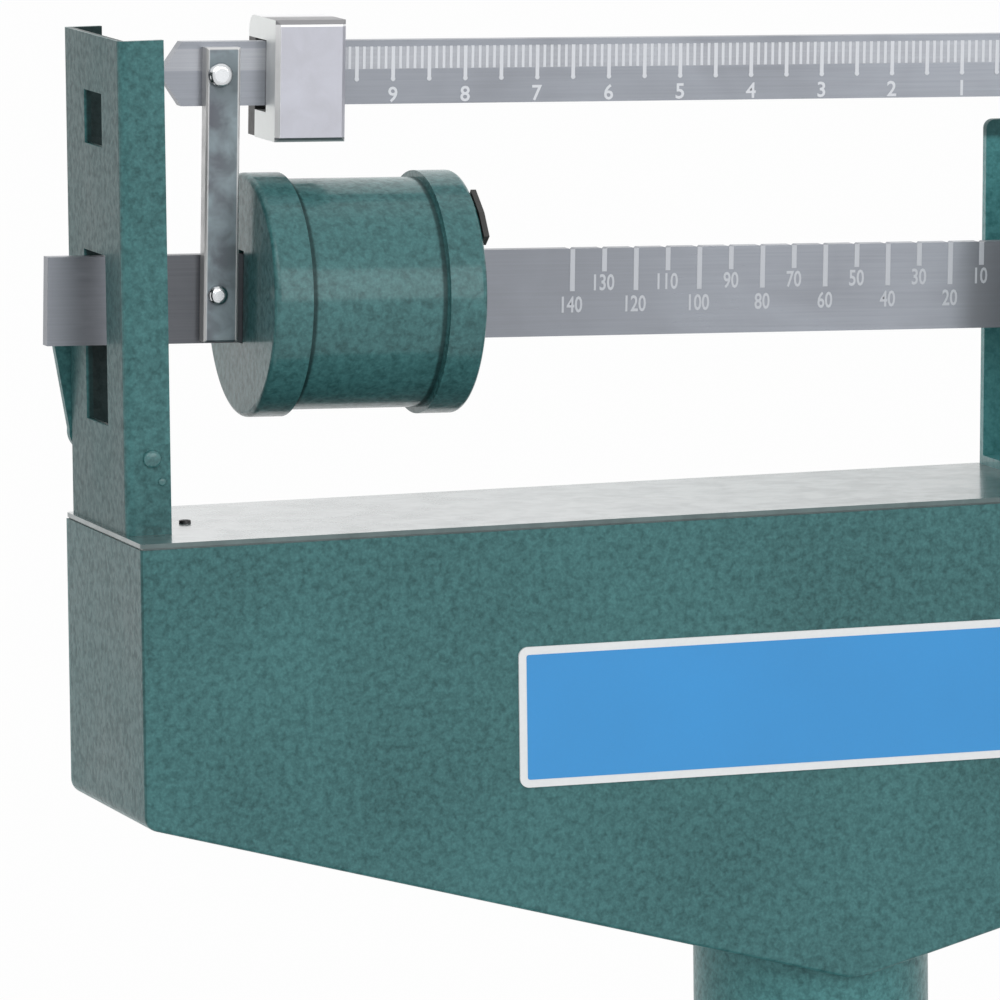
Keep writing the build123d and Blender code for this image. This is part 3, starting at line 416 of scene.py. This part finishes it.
def link_steel(name, left):
    """A blued link plate: blotched grey-blue with painted highlights along its edges, dark round its rivets.
    """
    finish = Finish(name)
    x, y, z = finish.axes(finish.level())
    blotch = finish.noise(130.0, 3.0, 0.5, distortion=0.3)
    grain = finish.noise(900.0, 2.0)
    across = finish.between(x, left, left + LINK_W)
    dark = finish.mix(across, (0.105, 0.110, 0.130), (0.135, 0.165, 0.180))
    colour = finish.mix(finish.between(blotch, 0.34, 0.66), dark, (0.235, 0.290, 0.315))
    side = (x - (left + LINK_W / 2)).abs()
    # Painted highlight along the side and top edges of the link's front face
    edge = finish.between(side, LINK_W / 2 - LINK_EDGE, LINK_W / 2 - LINK_EDGE * 0.5)
    edge = (edge + finish.between(z, FINE_TOP - 2.4 * MM, FINE_TOP - 1.9 * MM)).clamp()
    from_rivet = (z - (FINE_LOW + RIVET_UP)).abs()
    dull = finish.between(from_rivet, 9.0 * MM, 3.0 * MM) * finish.between(blotch, 0.4, 0.6)
    colour = finish.mix(dull * 0.6, colour, (0.05, 0.06, 0.065))
    colour = finish.mix(edge * (y < (BAR_FACE + 1.0 * MM)), colour, (0.68, 0.68, 0.68))
    return finish.surface(
        Base_Color=colour,
        Metallic=0.6,
        Roughness=0.4 + (grain - 0.5) * 0.2 + (blotch - 0.5) * 0.3,
        Normal=finish.bump(blotch * 0.5 + grain * 0.5, 0.2, 0.05 * MM),
    )


def deselect():
    if bpy.context.object and bpy.context.object.mode != "OBJECT":
        bpy.ops.object.mode_set(mode="OBJECT")
    bpy.ops.object.select_all(action="DESELECT")


def only(obj):
    deselect()
    obj.select_set(True)
    bpy.context.view_layer.objects.active = obj


def block(name, low, high):
    """A box between two corners, with its place in its mesh."""
    deselect()
    middle = [(a + b) / 2 for a, b in zip(low, high)]
    size = [b - a for a, b in zip(low, high)]
    bpy.ops.mesh.primitive_cube_add(size=1, location=middle, scale=size)
    obj = bpy.context.object
    obj.name = name
    bpy.ops.object.transform_apply(location=True, rotation=True, scale=True)
    return obj


def disc(name, radius, depth, at, turn=(0, 0, 0), sides=32):
    """A round blank with its place in its mesh."""
    deselect()
    bpy.ops.mesh.primitive_cylinder_add(
        vertices=sides, radius=radius, depth=depth, location=at, rotation=turn
    )
    obj = bpy.context.object
    obj.name = name
    bpy.ops.object.transform_apply(location=True, rotation=True, scale=True)
    return obj


def edit(obj, kind, test):
    """Enters edit mode on obj with only the faces, edges or vertices chosen for which test is true."""
    only(obj)
    bpy.ops.object.mode_set(mode="EDIT")
    bpy.ops.mesh.select_mode(type=kind)
    bpy.ops.mesh.select_all(action="DESELECT")
    mesh = bmesh.from_edit_mesh(obj.data)
    for item in {"FACE": mesh.faces, "EDGE": mesh.edges, "VERT": mesh.verts}[kind]:
        if test(item):
            item.select_set(True)
    bmesh.update_edit_mesh(obj.data)


def object_mode():
    bpy.ops.object.mode_set(mode="OBJECT")


def modifier(obj, kind, **settings):
    only(obj)
    added = obj.modifiers.new(kind.title(), kind)
    for key, value in settings.items():
        setattr(added, key, value)
    bpy.ops.object.modifier_apply(modifier=added.name)


def smooth(obj, angle=35):
    only(obj)
    bpy.ops.object.shade_smooth_by_angle(angle=math.radians(angle))


def copy_at(obj, move):
    only(obj)
    bpy.ops.object.duplicate(linked=False)
    twin = bpy.context.object
    bpy.ops.transform.translate(value=move)
    bpy.ops.object.transform_apply(location=True, rotation=True, scale=True)
    return twin


def join(objs, name):
    deselect()
    for obj in objs:
        obj.select_set(True)
    bpy.context.view_layer.objects.active = objs[0]
    if len(objs) > 1:
        bpy.ops.object.join()
    objs[0].name = name
    return objs[0]


def carry(obj, matrix):
    """Puts a matrix into the mesh of obj."""
    obj.matrix_world = matrix @ obj.matrix_world
    only(obj)
    bpy.ops.object.transform_apply(location=True, rotation=True, scale=True)
    return obj


def to_head(obj):
    return carry(obj, Matrix.Translation(HEAD))


def to_beam(obj):
    """Tilts a piece drawn on the level beam to where the lock holds the beam."""
    pivot = Vector((FULCRUM_X, 0.0, (MAIN_LOW + MAIN_TOP) / 2))
    tilt = Matrix.Translation(pivot) @ Matrix.Rotation(BEAM_TILT, 4, "Y") @ Matrix.Translation(-pivot)
    return carry(obj, Matrix.Translation(HEAD) @ tilt)


def fit(obj, body, material):
    obj.data.materials.clear()
    obj.data.materials.append(material)
    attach(obj, body)


def number(text, middle, top, height, stretch):
    """A number as a thin mesh on the front of the beam, by its middle along X, top, height and stretch."""
    deselect()
    bpy.ops.object.text_add()
    obj = bpy.context.object
    obj.data.body = text
    obj.data.extrude = 0.02
    obj.data.offset = 0.016
    obj.data.resolution_u = 3
    bpy.ops.object.convert(target="MESH")
    obj = bpy.context.object
    xs = [v.co.x for v in obj.data.vertices]
    ys = [v.co.y for v in obj.data.vertices]
    scale = height / (max(ys) - min(ys))
    centre = Vector(((max(xs) + min(xs)) / 2, max(ys), 0.0))
    size = Matrix.Diagonal((scale * stretch, scale, MARK_THICK / 0.04, 1.0))
    stand = Matrix.Rotation(math.radians(90), 4, "X")
    place = Matrix.Translation((middle, BAR_FACE, top))
    obj.matrix_world = place @ stand @ size @ Matrix.Translation(-centre)
    bpy.ops.object.transform_apply(location=True, rotation=True, scale=True)
    return obj


def tick(width, length, top):
    """One raised mark at X = 0 with eased edges, hanging from its top."""
    low = (-width / 2, BAR_FACE - MARK_THICK, top - length)
    obj = block("tick", low, (width / 2, BAR_FACE + MARK_THICK, top))
    edit(obj, "EDGE", lambda e: all(v.co.y < BAR_FACE for v in e.verts))
    bpy.ops.mesh.bevel(offset=MARK_EASE, segments=1)
    object_mode()
    return obj


def flat_finish(name, colour, rough, metallic=0.0):
    """A fine matt finish with slight variation."""
    finish = Finish(name)
    noise = finish.noise(900.0, 3.0)
    cloud = finish.noise(60.0, 2.0)
    low = [c * 0.86 for c in colour]
    return finish.surface(
        Base_Color=finish.mix(noise * 0.6 + cloud * 0.4, low, colour),
        Metallic=metallic,
        Roughness=rough + noise * 0.12,
        Normal=finish.bump(noise, 0.15, 0.05 * MM),
    )


def ground_steel(name, steel, reflection_tones, marked=None, dull=None):
    """A bar ground along its length, with painted reflection and shade along it, a lighter band between
    marked and unground past dull.
    """
    finish = Finish(name)
    scratch = finish.noise(1.0, 6.0, 0.6, finish.level((20.0, 700.0, 1500.0)))
    fine = finish.noise(1.0, 4.0, 0.6, finish.level((60.0, 2200.0, 3600.0)))
    cloud = finish.noise(26.0, 3.0, distortion=0.6)
    x, _, z = finish.axes(finish.level())
    low, high = reflection_tones[0][0], reflection_tones[-1][0]
    along = finish.between(x + (cloud - 0.5) * 0.006, low, high)
    # Painted reflection and shade: the steel colour darkened and lightened along the bar
    stops = [((place - low) / (high - low), [c * share for c in steel]) for place, share in reflection_tones]
    colour = finish.ramp(along, *stops)
    if marked:
        fade = 0.4 * MM
        band = finish.between(z, marked[0], marked[0] + fade) * finish.between(z, marked[1], marked[1] - fade)
        colour = finish.mix(band * 0.35, colour, (0.62, 0.63, 0.66))
    worn = ((cloud - 0.5) * 0.7 + (scratch - 0.5) * 0.5 + 0.3).clamp()
    colour = finish.mix(worn, colour, (0.16, 0.165, 0.18))
    return finish.surface(
        Base_Color=colour,
        Metallic=0.9 - finish.between(x, *dull) * 0.75 if dull else 0.9,
        Roughness=0.34 + (fine - 0.5) * 0.25 + (cloud - 0.5) * 0.2,
        Normal=finish.bump(scratch * 0.6 + fine * 0.4, 0.16, 0.03 * MM),
    )


def block_alloy(name):
    """The block poise: a milled face framed by painted highlights and painted shade on its eased edges, sides
    lightened by a painted reflection, and a top with painted shade towards the front.
    """
    finish = Finish(name)
    x, y, z = finish.axes(finish.level())
    cloud = finish.noise(90.0, 3.0, distortion=0.8)
    grain = finish.noise(1400.0, 2.0)
    front = y < (BLOCK_FRONT + 1.45 * MM)
    milled = finish.mix((cloud * 1.3 + grain * 0.3 - 0.3).clamp(), (0.40, 0.40, 0.44), (0.52, 0.53, 0.59))
    # Painted reflection: pale sides
    side = finish.mix(cloud, (0.80, 0.82, 0.81), (0.93, 0.95, 0.94))
    # Painted shade on the top face, darker towards the front
    top = finish.mix(finish.between(y, 15.0 * MM, 21.0 * MM), (0.24, 0.24, 0.25), (0.80, 0.80, 0.81))
    colour = finish.mix(z > (BLOCK_TOP - 0.05 * MM), side, top)
    colour = finish.mix(front, colour, milled)
    # Painted highlights on the front's left bevel and upper rim, painted shade on its top and lower bevels,
    # and a painted highlight along the lowest strip
    bevel, rim = 1.42 * MM, 2.1 * MM
    left = (x < (BLOCK_LEFT + bevel)) * (z < (BLOCK_TOP - bevel))
    upper_rim_highlight = (z < (BLOCK_TOP - bevel)) * (z > (BLOCK_TOP - rim))
    colour = finish.mix((front * (left + upper_rim_highlight)).clamp(), colour, (0.95, 0.95, 0.96))
    colour = finish.mix(front * (z > (BLOCK_TOP - bevel)), colour, (0.30, 0.30, 0.31))
    lower = front * (z < (BLOCK_LOW + bevel))
    colour = finish.mix(lower, colour, (0.22, 0.24, 0.25))
    colour = finish.mix(lower * (z < (BLOCK_LOW + bevel * 0.4)), colour, (0.62, 0.63, 0.64))
    return finish.surface(
        Base_Color=colour,
        Metallic=0.7,
        Roughness=0.42 + (grain - 0.5) * 0.2 + (cloud - 0.5) * 0.15,
        Normal=finish.bump(grain, 0.12, 0.03 * MM),
    )


def cast_metal(name, colour, rough, metallic, grain=500.0, relief=0.06 * MM):
    """Cast or sandblasted metal with a fine even grain."""
    finish = Finish(name)
    coarse = finish.noise(grain, 4.0, 0.6)
    cloud = finish.noise(40.0, 3.0)
    low = [c * 0.72 for c in colour]
    return finish.surface(
        Base_Color=finish.mix((coarse * 0.6 + cloud * 0.6 - 0.1).clamp(), low, colour),
        Metallic=metallic,
        Roughness=rough + (coarse - 0.5) * 0.2 + (cloud - 0.5) * 0.15,
        Normal=finish.bump(coarse, 0.3, relief),
    )


def turned_metal(name, colour, rough, axis=0):
    """Turned metal with fine rings across its axis."""
    finish = Finish(name)
    scale = [40.0, 40.0, 40.0]
    scale[axis] = 2600.0
    rings = finish.noise(1.0, 4.0, 0.6, finish.place(scale=scale))
    cloud = finish.noise(50.0, 3.0)
    low = [c * 0.78 for c in colour]
    return finish.surface(
        Base_Color=finish.mix((rings * 0.5 + cloud * 0.5).clamp(), low, colour),
        Metallic=1.0,
        Roughness=rough + (rings - 0.5) * 0.2 + (cloud - 0.5) * 0.1,
        Normal=finish.bump(rings, 0.12, 0.03 * MM),
    )


def enamel_colours(context):
    paint = context.scene.scale_paint
    return tuple(paint.enamel_dark), tuple(paint.enamel_light), paint.cell


def paint_nodes(material, *names):
    for name in names:
        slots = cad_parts[name].material_slots
        if not slots:
            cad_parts[name].data.materials.append(material)
        for slot in slots:
            slot.material = material


class SCALE_OT_enamel(bpy.types.Operator):
    """Gives the casing, the upright, the stands, the drum, the column and the base their enamel."""

    bl_idname = "scale.enamel"
    bl_label = "Hammered enamel"

    def execute(self, context):
        dark, light, cell = enamel_colours(context)
        paint_nodes(casing_enamel(dark, light, cell), "casing")
        plain = hammered_enamel(Finish("hammered_plain"), dark, light, cell)
        paint_nodes(plain, "casing_rear_cover", "beam_lock", "platform_plate")
        # The stands take a lighter copy of the enamel, painted light
        stand = stand_enamel([c * 2.2 for c in dark], [c * 1.7 for c in light], cell)
        paint_nodes(stand, "stand_front", "stand_rear")
        lid_dark, lid_light = [c * 0.6 + 0.02 for c in dark], [c * 0.4 + 0.05 for c in light]
        paint_nodes(lid_enamel(lid_dark, lid_light, cell * 4), "casing_lid")
        paint_nodes(drum_enamel(dark, light, cell), "drum_body", "drum_cap_left", "drum_cap_right")
        # The column takes a lighter copy of the enamel with less coat, painted light
        column = [c * 1.2 for c in dark], [c * 1.3 for c in light]
        paint_nodes(hammered_enamel(Finish("hammered_column"), *column, cell, 0.2), "column", "column_flange")
        base = hammered_enamel(Finish("hammered_base"), dark, light, cell * 1.3)
        paint_nodes(base, "rail_front", "rail_left", "rail_rear", "rail_right", "rear_deck")
        paint_nodes(upright_enamel(dark, light, cell), "guide_upright")
        return {"FINISHED"}


class SCALE_OT_metals(bpy.types.Operator):
    """Gives the beam, its poises, the pins, the levers and the feet their finishes."""

    bl_idname = "scale.metals"
    bl_label = "Metal finishes"

    def execute(self, context):
        steel = tuple(context.scene.scale_paint.steel)
        paint_nodes(ground_steel("ground_bar", steel, MAIN_REFLECTION_TONES, dull=SHELTERED), "main_bar")
        paint_nodes(ground_steel("ground_fine_bar", steel, FINE_REFLECTION_TONES, marked=FINE_BAND), "fine_bar")
        paint_nodes(link_steel("blued_link_left", LINK_LEFT), "link_left")
        paint_nodes(link_steel("blued_link_right", LINK_RIGHT), "link_right")
        hub = cast_metal("blued_hub", (0.16, 0.18, 0.20), 0.4, 0.8)
        paint_nodes(
            hub, "fulcrum_hub", "fulcrum_bearing_front", "fulcrum_bearing_rear", "column_saddle",
            "transfer_bracket",
        )
        black = cast_metal("black_steel", (0.05, 0.05, 0.048), 0.42, 0.3)
        paint_nodes(black, "block_back", "drum_pawl")
        bright = turned_metal("bright_rivets", (0.72, 0.74, 0.76), 0.22, 1)
        paint_nodes(bright, "link_rivets", "lock_stud", "fulcrum_pin", "load_pin", "balance_rod")
        zinc = cast_metal("zinc_plating", (0.56, 0.57, 0.55), 0.46, 0.55, 700.0, 0.02 * MM)
        paint_nodes(zinc, "upright_screws", "cover_screws", "flange_bolts")
        paint_nodes(block_alloy("milled_block"), "block_poise")
        paint_nodes(turned_metal("turned_brass", (0.62, 0.46, 0.22), 0.26), "balance_weight")
        plain = turned_metal("plain_steel", (0.46, 0.47, 0.48), 0.36, 2)
        paint_nodes(
            plain, "beam_link", "pull_rod", "lever_shackle", "long_lever_pins", "short_lever_pins",
            "cover_posts",
        )
        casting = cast_metal("lever_casting", (0.10, 0.105, 0.11), 0.55, 0.3, 300.0, 0.15 * MM)
        paint_nodes(
            casting, "long_lever_arms", "long_lever_nose", "short_lever_arms", "short_lever_nose",
            "transfer_lever", "pedestal_front_left", "pedestal_front_right", "pedestal_rear_left",
            "pedestal_rear_right", "platform_posts",
        )
        rubber = cast_metal("foot_rubber", (0.025, 0.025, 0.026), 0.75, 0.0, 800.0)
        paint_nodes(rubber, "foot_front_left", "foot_front_right", "foot_rear_left", "foot_rear_right")
        return {"FINISHED"}


class SCALE_OT_main_marks(bpy.types.Operator):
    """Puts the marks and the numbers on the main bar."""

    bl_idname = "scale.main_marks"
    bl_label = "Main bar marks"

    def execute(self, context):
        beam = context.scene.scale_beam
        long = tick(MAIN_MARK_W, MAIN_LONG, MAIN_MARK_TOP)
        short = tick(MAIN_MARK_W, MAIN_SHORT, MAIN_MARK_TOP)
        marks, numbers = [], []
        for n in range(15):
            x = beam.main_zero - n * beam.main_step
            marks.append(copy_at(long if n % 2 == 0 else short, (x, 0, 0)))
            drop = MAIN_LONG_DROP if n % 2 == 0 else MAIN_SHORT_DROP
            numbers.append(number(str(n * 10), x, MAIN_TOP - drop, MAIN_DIGIT, 0.74))
        for obj in (long, short):
            bpy.data.objects.remove(obj)
        pale = flat_finish("bar_marks", (0.54, 0.56, 0.60), 0.4, 0.3)
        fit(to_beam(join(marks, "main_bar_marks")), "beam", pale)
        fit(to_beam(join(numbers, "main_bar_numbers")), "beam", pale)
        return {"FINISHED"}


class SCALE_OT_fine_marks(bpy.types.Operator):
    """Puts the marks and the numbers on the fine bar."""

    bl_idname = "scale.fine_marks"
    bl_label = "Fine bar marks"

    def execute(self, context):
        beam = context.scene.scale_beam
        short = tick(FINE_SHORT_W, FINE_SHORT, FINE_MARK_TOP)
        long = tick(FINE_LONG_W, FINE_LONG, FINE_MARK_TOP)
        foot = (0, BAR_FACE, FINE_MARK_TOP - FINE_DOT_DOWN)
        blob = disc("blob", FINE_DOT_R, MARK_THICK * 2.6, foot, FRONT_TURN, 12)
        edit(blob, "FACE", lambda f: f.normal.y < -0.5)
        bpy.ops.mesh.bevel(offset=MARK_EASE, segments=1)
        object_mode()
        marks, numbers = [], []
        for n in range(101):
            x = beam.fine_zero - n * beam.fine_step / 10
            marks.append(copy_at(short if n % 5 else long, (x, 0, 0)))
            if n % 5 == 0:
                marks.append(copy_at(blob, (x, 0, 0)))
            if n % 10 == 0:
                numbers.append(number(str(n // 10), x, FINE_TOP - FINE_DROP, FINE_DIGIT, 1.0))
        for obj in (short, long, blob):
            bpy.data.objects.remove(obj)
        pale = flat_finish("fine_bar_marks", (0.66, 0.68, 0.72), 0.35, 0.3)
        fit(to_beam(join(marks, "fine_bar_marks")), "beam", pale)
        fit(to_beam(join(numbers, "fine_bar_numbers")), "beam", pale)
        return {"FINISHED"}


class SCALE_OT_label(bpy.types.Operator):
    """Puts the white border and the bare blue field on the casing's label plate."""

    bl_idname = "scale.label"
    bl_label = "Label plate"

    def execute(self, context):
        white = flat_finish("label_border", (0.80, 0.82, 0.83), 0.3)
        paint_nodes(white, "label_plate")
        low = (LABEL_LOW.x + LABEL_BORDER, LABEL_LOW.y - 0.12 * MM, LABEL_LOW.z + LABEL_BORDER)
        high = (LABEL_HIGH.x - LABEL_BORDER, LABEL_LOW.y + 0.2 * MM, LABEL_HIGH.z - LABEL_BORDER)
        field = block("label_field", low, high)
        edit(field, "EDGE", lambda e: abs(e.verts[0].co.y - e.verts[1].co.y) > 0.1 * MM)
        bpy.ops.mesh.bevel(offset=0.8 * MM, segments=4)
        object_mode()
        finish = Finish("label_blue")
        cloud = finish.noise(24.0, 3.0)
        fine = finish.noise(1500.0, 2.0)
        colour = tuple(context.scene.scale_paint.label)
        tone = (cloud * 0.7 + fine * 0.3).clamp()
        deep, pale = [c * 0.9 for c in colour], [min(1.0, c * 1.1) for c in colour]
        blue = finish.surface(
            Base_Color=finish.mix(tone, deep, pale),
            Roughness=0.3 + fine * 0.1,
            Coat_Weight=0.5,
            Coat_Roughness=0.15,
            Normal=finish.bump(fine, 0.05, 0.03 * MM),
        )
        fit(field, "stand", blue)
        return {"FINISHED"}


class SCALE_OT_fittings(bpy.types.Operator):
    """Puts the two domed rivets on the upright and the two screws on the lid."""

    bl_idname = "scale.fittings"
    bl_label = "Rivets and screws"

    def execute(self, context):
        rivets = []
        for radius, x, z in RIVETS:
            at = (x, UPRIGHT_FRONT - radius * 0.25, z)
            rivet = disc("rivet", radius, radius * 0.7, at, FRONT_TURN, 28)
            edit(rivet, "FACE", lambda f: f.normal.y < -0.5)
            bpy.ops.mesh.bevel(offset=radius * 0.42, segments=4)
            object_mode()
            smooth(rivet, 50)
            rivets.append(rivet)
        gloss = hammered_enamel(Finish("painted_rivets"), *enamel_colours(context), 0.9)
        fit(to_head(join(rivets, "upright_rivets")), "stand", gloss)

        screw = disc("screw", SCREW_R, 1.2 * MM, (0, SCREW_Y, 0.4 * MM), sides=24)
        edit(screw, "FACE", lambda f: f.normal.z > 0.5)
        bpy.ops.mesh.inset(thickness=0.9 * MM)
        bpy.ops.transform.translate(value=(0, 0, -0.5 * MM))
        object_mode()
        edit(screw, "EDGE", lambda e: all(v.co.z > 0.9 * MM for v in e.verts))
        bpy.ops.mesh.bevel(offset=0.3 * MM, segments=3)
        object_mode()
        smooth(screw)
        screws = [copy_at(screw, (x, 0, 0)) for x in (-SCREW_X, SCREW_X)]
        bpy.data.objects.remove(screw)
        black = cast_metal("black_screws", (0.05, 0.05, 0.052), 0.4, 0.5, 900.0)
        fit(to_head(join(screws, "lid_screws")), "stand", black)
        return {"FINISHED"}


class SCALE_OT_end_plates(bpy.types.Operator):
    """Closes the four open ends of the side rails with pressed plates."""

    bl_idname = "scale.end_plates"
    bl_label = "Rail end plates"

    def execute(self, context):
        plates = []
        for rail in ("rail_left", "rail_right"):
            low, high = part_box(rail)
            inner, outer = sorted((low.x, high.x), key=abs)
            across = sorted((inner, outer - math.copysign(RAIL_WALL, outer)))
            for y, way in ((low.y, 1), (high.y, -1)):
                depth = sorted((y + way * END_SUNK, y + way * (END_SUNK + END_THICK)))
                height = (low.z + RAIL_WALL, high.z - RAIL_WALL)
                near, far = zip(across, depth, height)
                plate = block("plate", near, far)
                edit(plate, "FACE", lambda f: f.normal.y * way < -0.5)
                bpy.ops.mesh.inset(thickness=5.0 * MM)
                bpy.ops.transform.translate(value=(0, way * END_THICK * 0.45, 0))
                object_mode()
                modifier(plate, "BEVEL", width=0.4 * MM, segments=2)
                smooth(plate, 40)
                plates.append(plate)
        dark, light, cell = enamel_colours(context)
        enamel = hammered_enamel(Finish("hammered_end_plates"), dark, light, cell * 1.3)
        fit(join(plates, "rail_end_plates"), "stand", enamel)
        return {"FINISHED"}


class SCALE_OT_treads(bpy.types.Operator):
    """Puts raised oval treads on the platform."""

    bl_idname = "scale.treads"
    bl_label = "Platform treads"

    def execute(self, context):
        tread = disc("tread", TREAD_HALF, 2 * TREAD_RISE, (0, 0, PLATFORM_HIGH.z), sides=14)
        edit(tread, "VERT", lambda v: True)
        bpy.ops.transform.resize(value=(1.0, 0.3, 1.0))
        object_mode()
        edit(tread, "FACE", lambda f: f.normal.z > 0.5)
        bpy.ops.mesh.bevel(offset=0.9 * MM, segments=2)
        object_mode()
        smooth(tread, 40)
        turned = []
        for angle in (math.radians(45), math.radians(-45)):
            twin = copy_at(tread, (0, 0, 0))
            turned.append(carry(twin, Matrix.Rotation(angle, 4, "Z")))
        bpy.data.objects.remove(tread)
        size = PLATFORM_HIGH - PLATFORM_LOW
        columns, rows = [int((length - TREAD_STEP) / TREAD_STEP) for length in (size.x, size.y)]
        middle = (PLATFORM_LOW + PLATFORM_HIGH) / 2
        treads = []
        for i in range(columns):
            for j in range(rows):
                x = middle.x + (i - (columns - 1) / 2) * TREAD_STEP
                y = middle.y + (j - (rows - 1) / 2) * TREAD_STEP
                treads.append(copy_at(turned[(i + j) % 2], (x, y, 0)))
        for obj in turned:
            bpy.data.objects.remove(obj)
        dark, light, cell = enamel_colours(context)
        worn = hammered_enamel(Finish("worn_treads"), dark, [c * 1.25 for c in light], cell, 0.3)
        fit(join(treads, "platform_treads"), "platform", worn)
        return {"FINISHED"}


class SCALE_OT_stage(bpy.types.Operator):
    """Makes the floor, the light and the camera."""

    bl_idname = "scale.stage"
    bl_label = "Stage"

    def execute(self, context):
        scene = context.scene
        stage = scene.scale_stage
        half = stage.floor_size / 2
        deselect()
        bpy.ops.mesh.primitive_plane_add(size=stage.floor_size, location=(0, 0, -0.0005))
        floor = context.object
        floor.name = "floor"
        bpy.ops.object.transform_apply(location=True, rotation=True, scale=True)
        finish = Finish("floor_white")
        tone = finish.mix(finish.noise(3.0, 3.0), (0.84, 0.84, 0.84), (0.86, 0.86, 0.86))
        finish.backdrop("ShaderNodeBsdfDiffuse", {"Color": tone}, 0.94)
        floor.data.materials.append(finish.material)

        scene.world = bpy.data.worlds.new("studio")
        sky = Finish("studio", scene.world)
        sky.backdrop("ShaderNodeBackground", {"Color": (1, 1, 1, 1), "Strength": 0.72}, 1.0)

        for name, strength, spread, turn in (
            ("key_light", 0.60, 40.0, (55.0, 0.0, -24.0)),
            ("front_light", 0.42, 30.0, (77.0, 0.0, 16.0)),
            ("fill_light", 0.35, 90.0, (50.0, 0.0, 150.0)),
        ):
            lamp = bpy.data.lights.new(name, "SUN")
            lamp.energy = strength
            lamp.angle = math.radians(spread)
            holder = bpy.data.objects.new(name, lamp)
            holder.rotation_euler = [math.radians(a) for a in turn]
            holder.location = (0, 0, 3)
            scene.collection.objects.link(holder)

        camera = bpy.data.objects.new("camera", bpy.data.cameras.new("camera"))
        camera.data.sensor_width = 36.0
        camera.data.sensor_fit = "HORIZONTAL"
        camera.data.lens = stage.lens
        camera.data.clip_end = 2 * half
        yaw, pitch, roll = stage.yaw, stage.pitch, stage.roll
        ahead = Vector((math.sin(yaw) * math.cos(pitch), math.cos(yaw) * math.cos(pitch), -math.sin(pitch)))
        right = Vector((math.cos(yaw), -math.sin(yaw), 0.0))
        up = right.cross(ahead)
        across = math.cos(roll) * right + math.sin(roll) * up
        over = -math.sin(roll) * right + math.cos(roll) * up
        turn = Matrix((across, over, -ahead)).transposed().to_4x4()
        camera.matrix_world = Matrix.Translation(stage.eye) @ turn
        scene.collection.objects.link(camera)
        scene.camera = camera
        scene.view_settings.view_transform = "Standard"
        return {"FINISHED"}


class SCALE_PT_panel(bpy.types.Panel):
    bl_label = "Column Platform Scale"
    bl_idname = "SCALE_PT_panel"
    bl_space_type = "VIEW_3D"
    bl_region_type = "UI"
    bl_category = "Scale"

    def draw(self, context):
        layout = self.layout
        for group in (context.scene.scale_stage, context.scene.scale_paint, context.scene.scale_beam):
            for key in group.bl_rna.properties.keys():
                if key not in ("rna_type", "name"):
                    layout.prop(group, key)
        for operator in OPERATORS:
            layout.operator(operator.bl_idname)


GROUPS = {"scale_stage": StageSettings, "scale_paint": PaintSettings, "scale_beam": BeamSettings}
OPERATORS = (
    SCALE_OT_stage, SCALE_OT_enamel, SCALE_OT_metals, SCALE_OT_main_marks, SCALE_OT_fine_marks,
    SCALE_OT_label, SCALE_OT_fittings, SCALE_OT_end_plates, SCALE_OT_treads,
)


def register():
    for name, group in GROUPS.items():
        bpy.utils.register_class(group)
        setattr(bpy.types.Scene, name, bpy.props.PointerProperty(type=group))
    for cls in (*OPERATORS, SCALE_PT_panel):
        bpy.utils.register_class(cls)


def unregister():
    for cls in (SCALE_PT_panel, *reversed(OPERATORS)):
        bpy.utils.unregister_class(cls)
    for name, group in GROUPS.items():
        delattr(bpy.types.Scene, name)
        bpy.utils.unregister_class(group)


def main():
    register()
    bpy.ops.scale.stage()
    bpy.ops.scale.enamel()
    bpy.ops.scale.metals()
    bpy.ops.scale.main_marks()
    bpy.ops.scale.fine_marks()
    bpy.ops.scale.label()
    bpy.ops.scale.fittings()
    bpy.ops.scale.end_plates()
    bpy.ops.scale.treads()


if __name__ == "__main__":
    main()
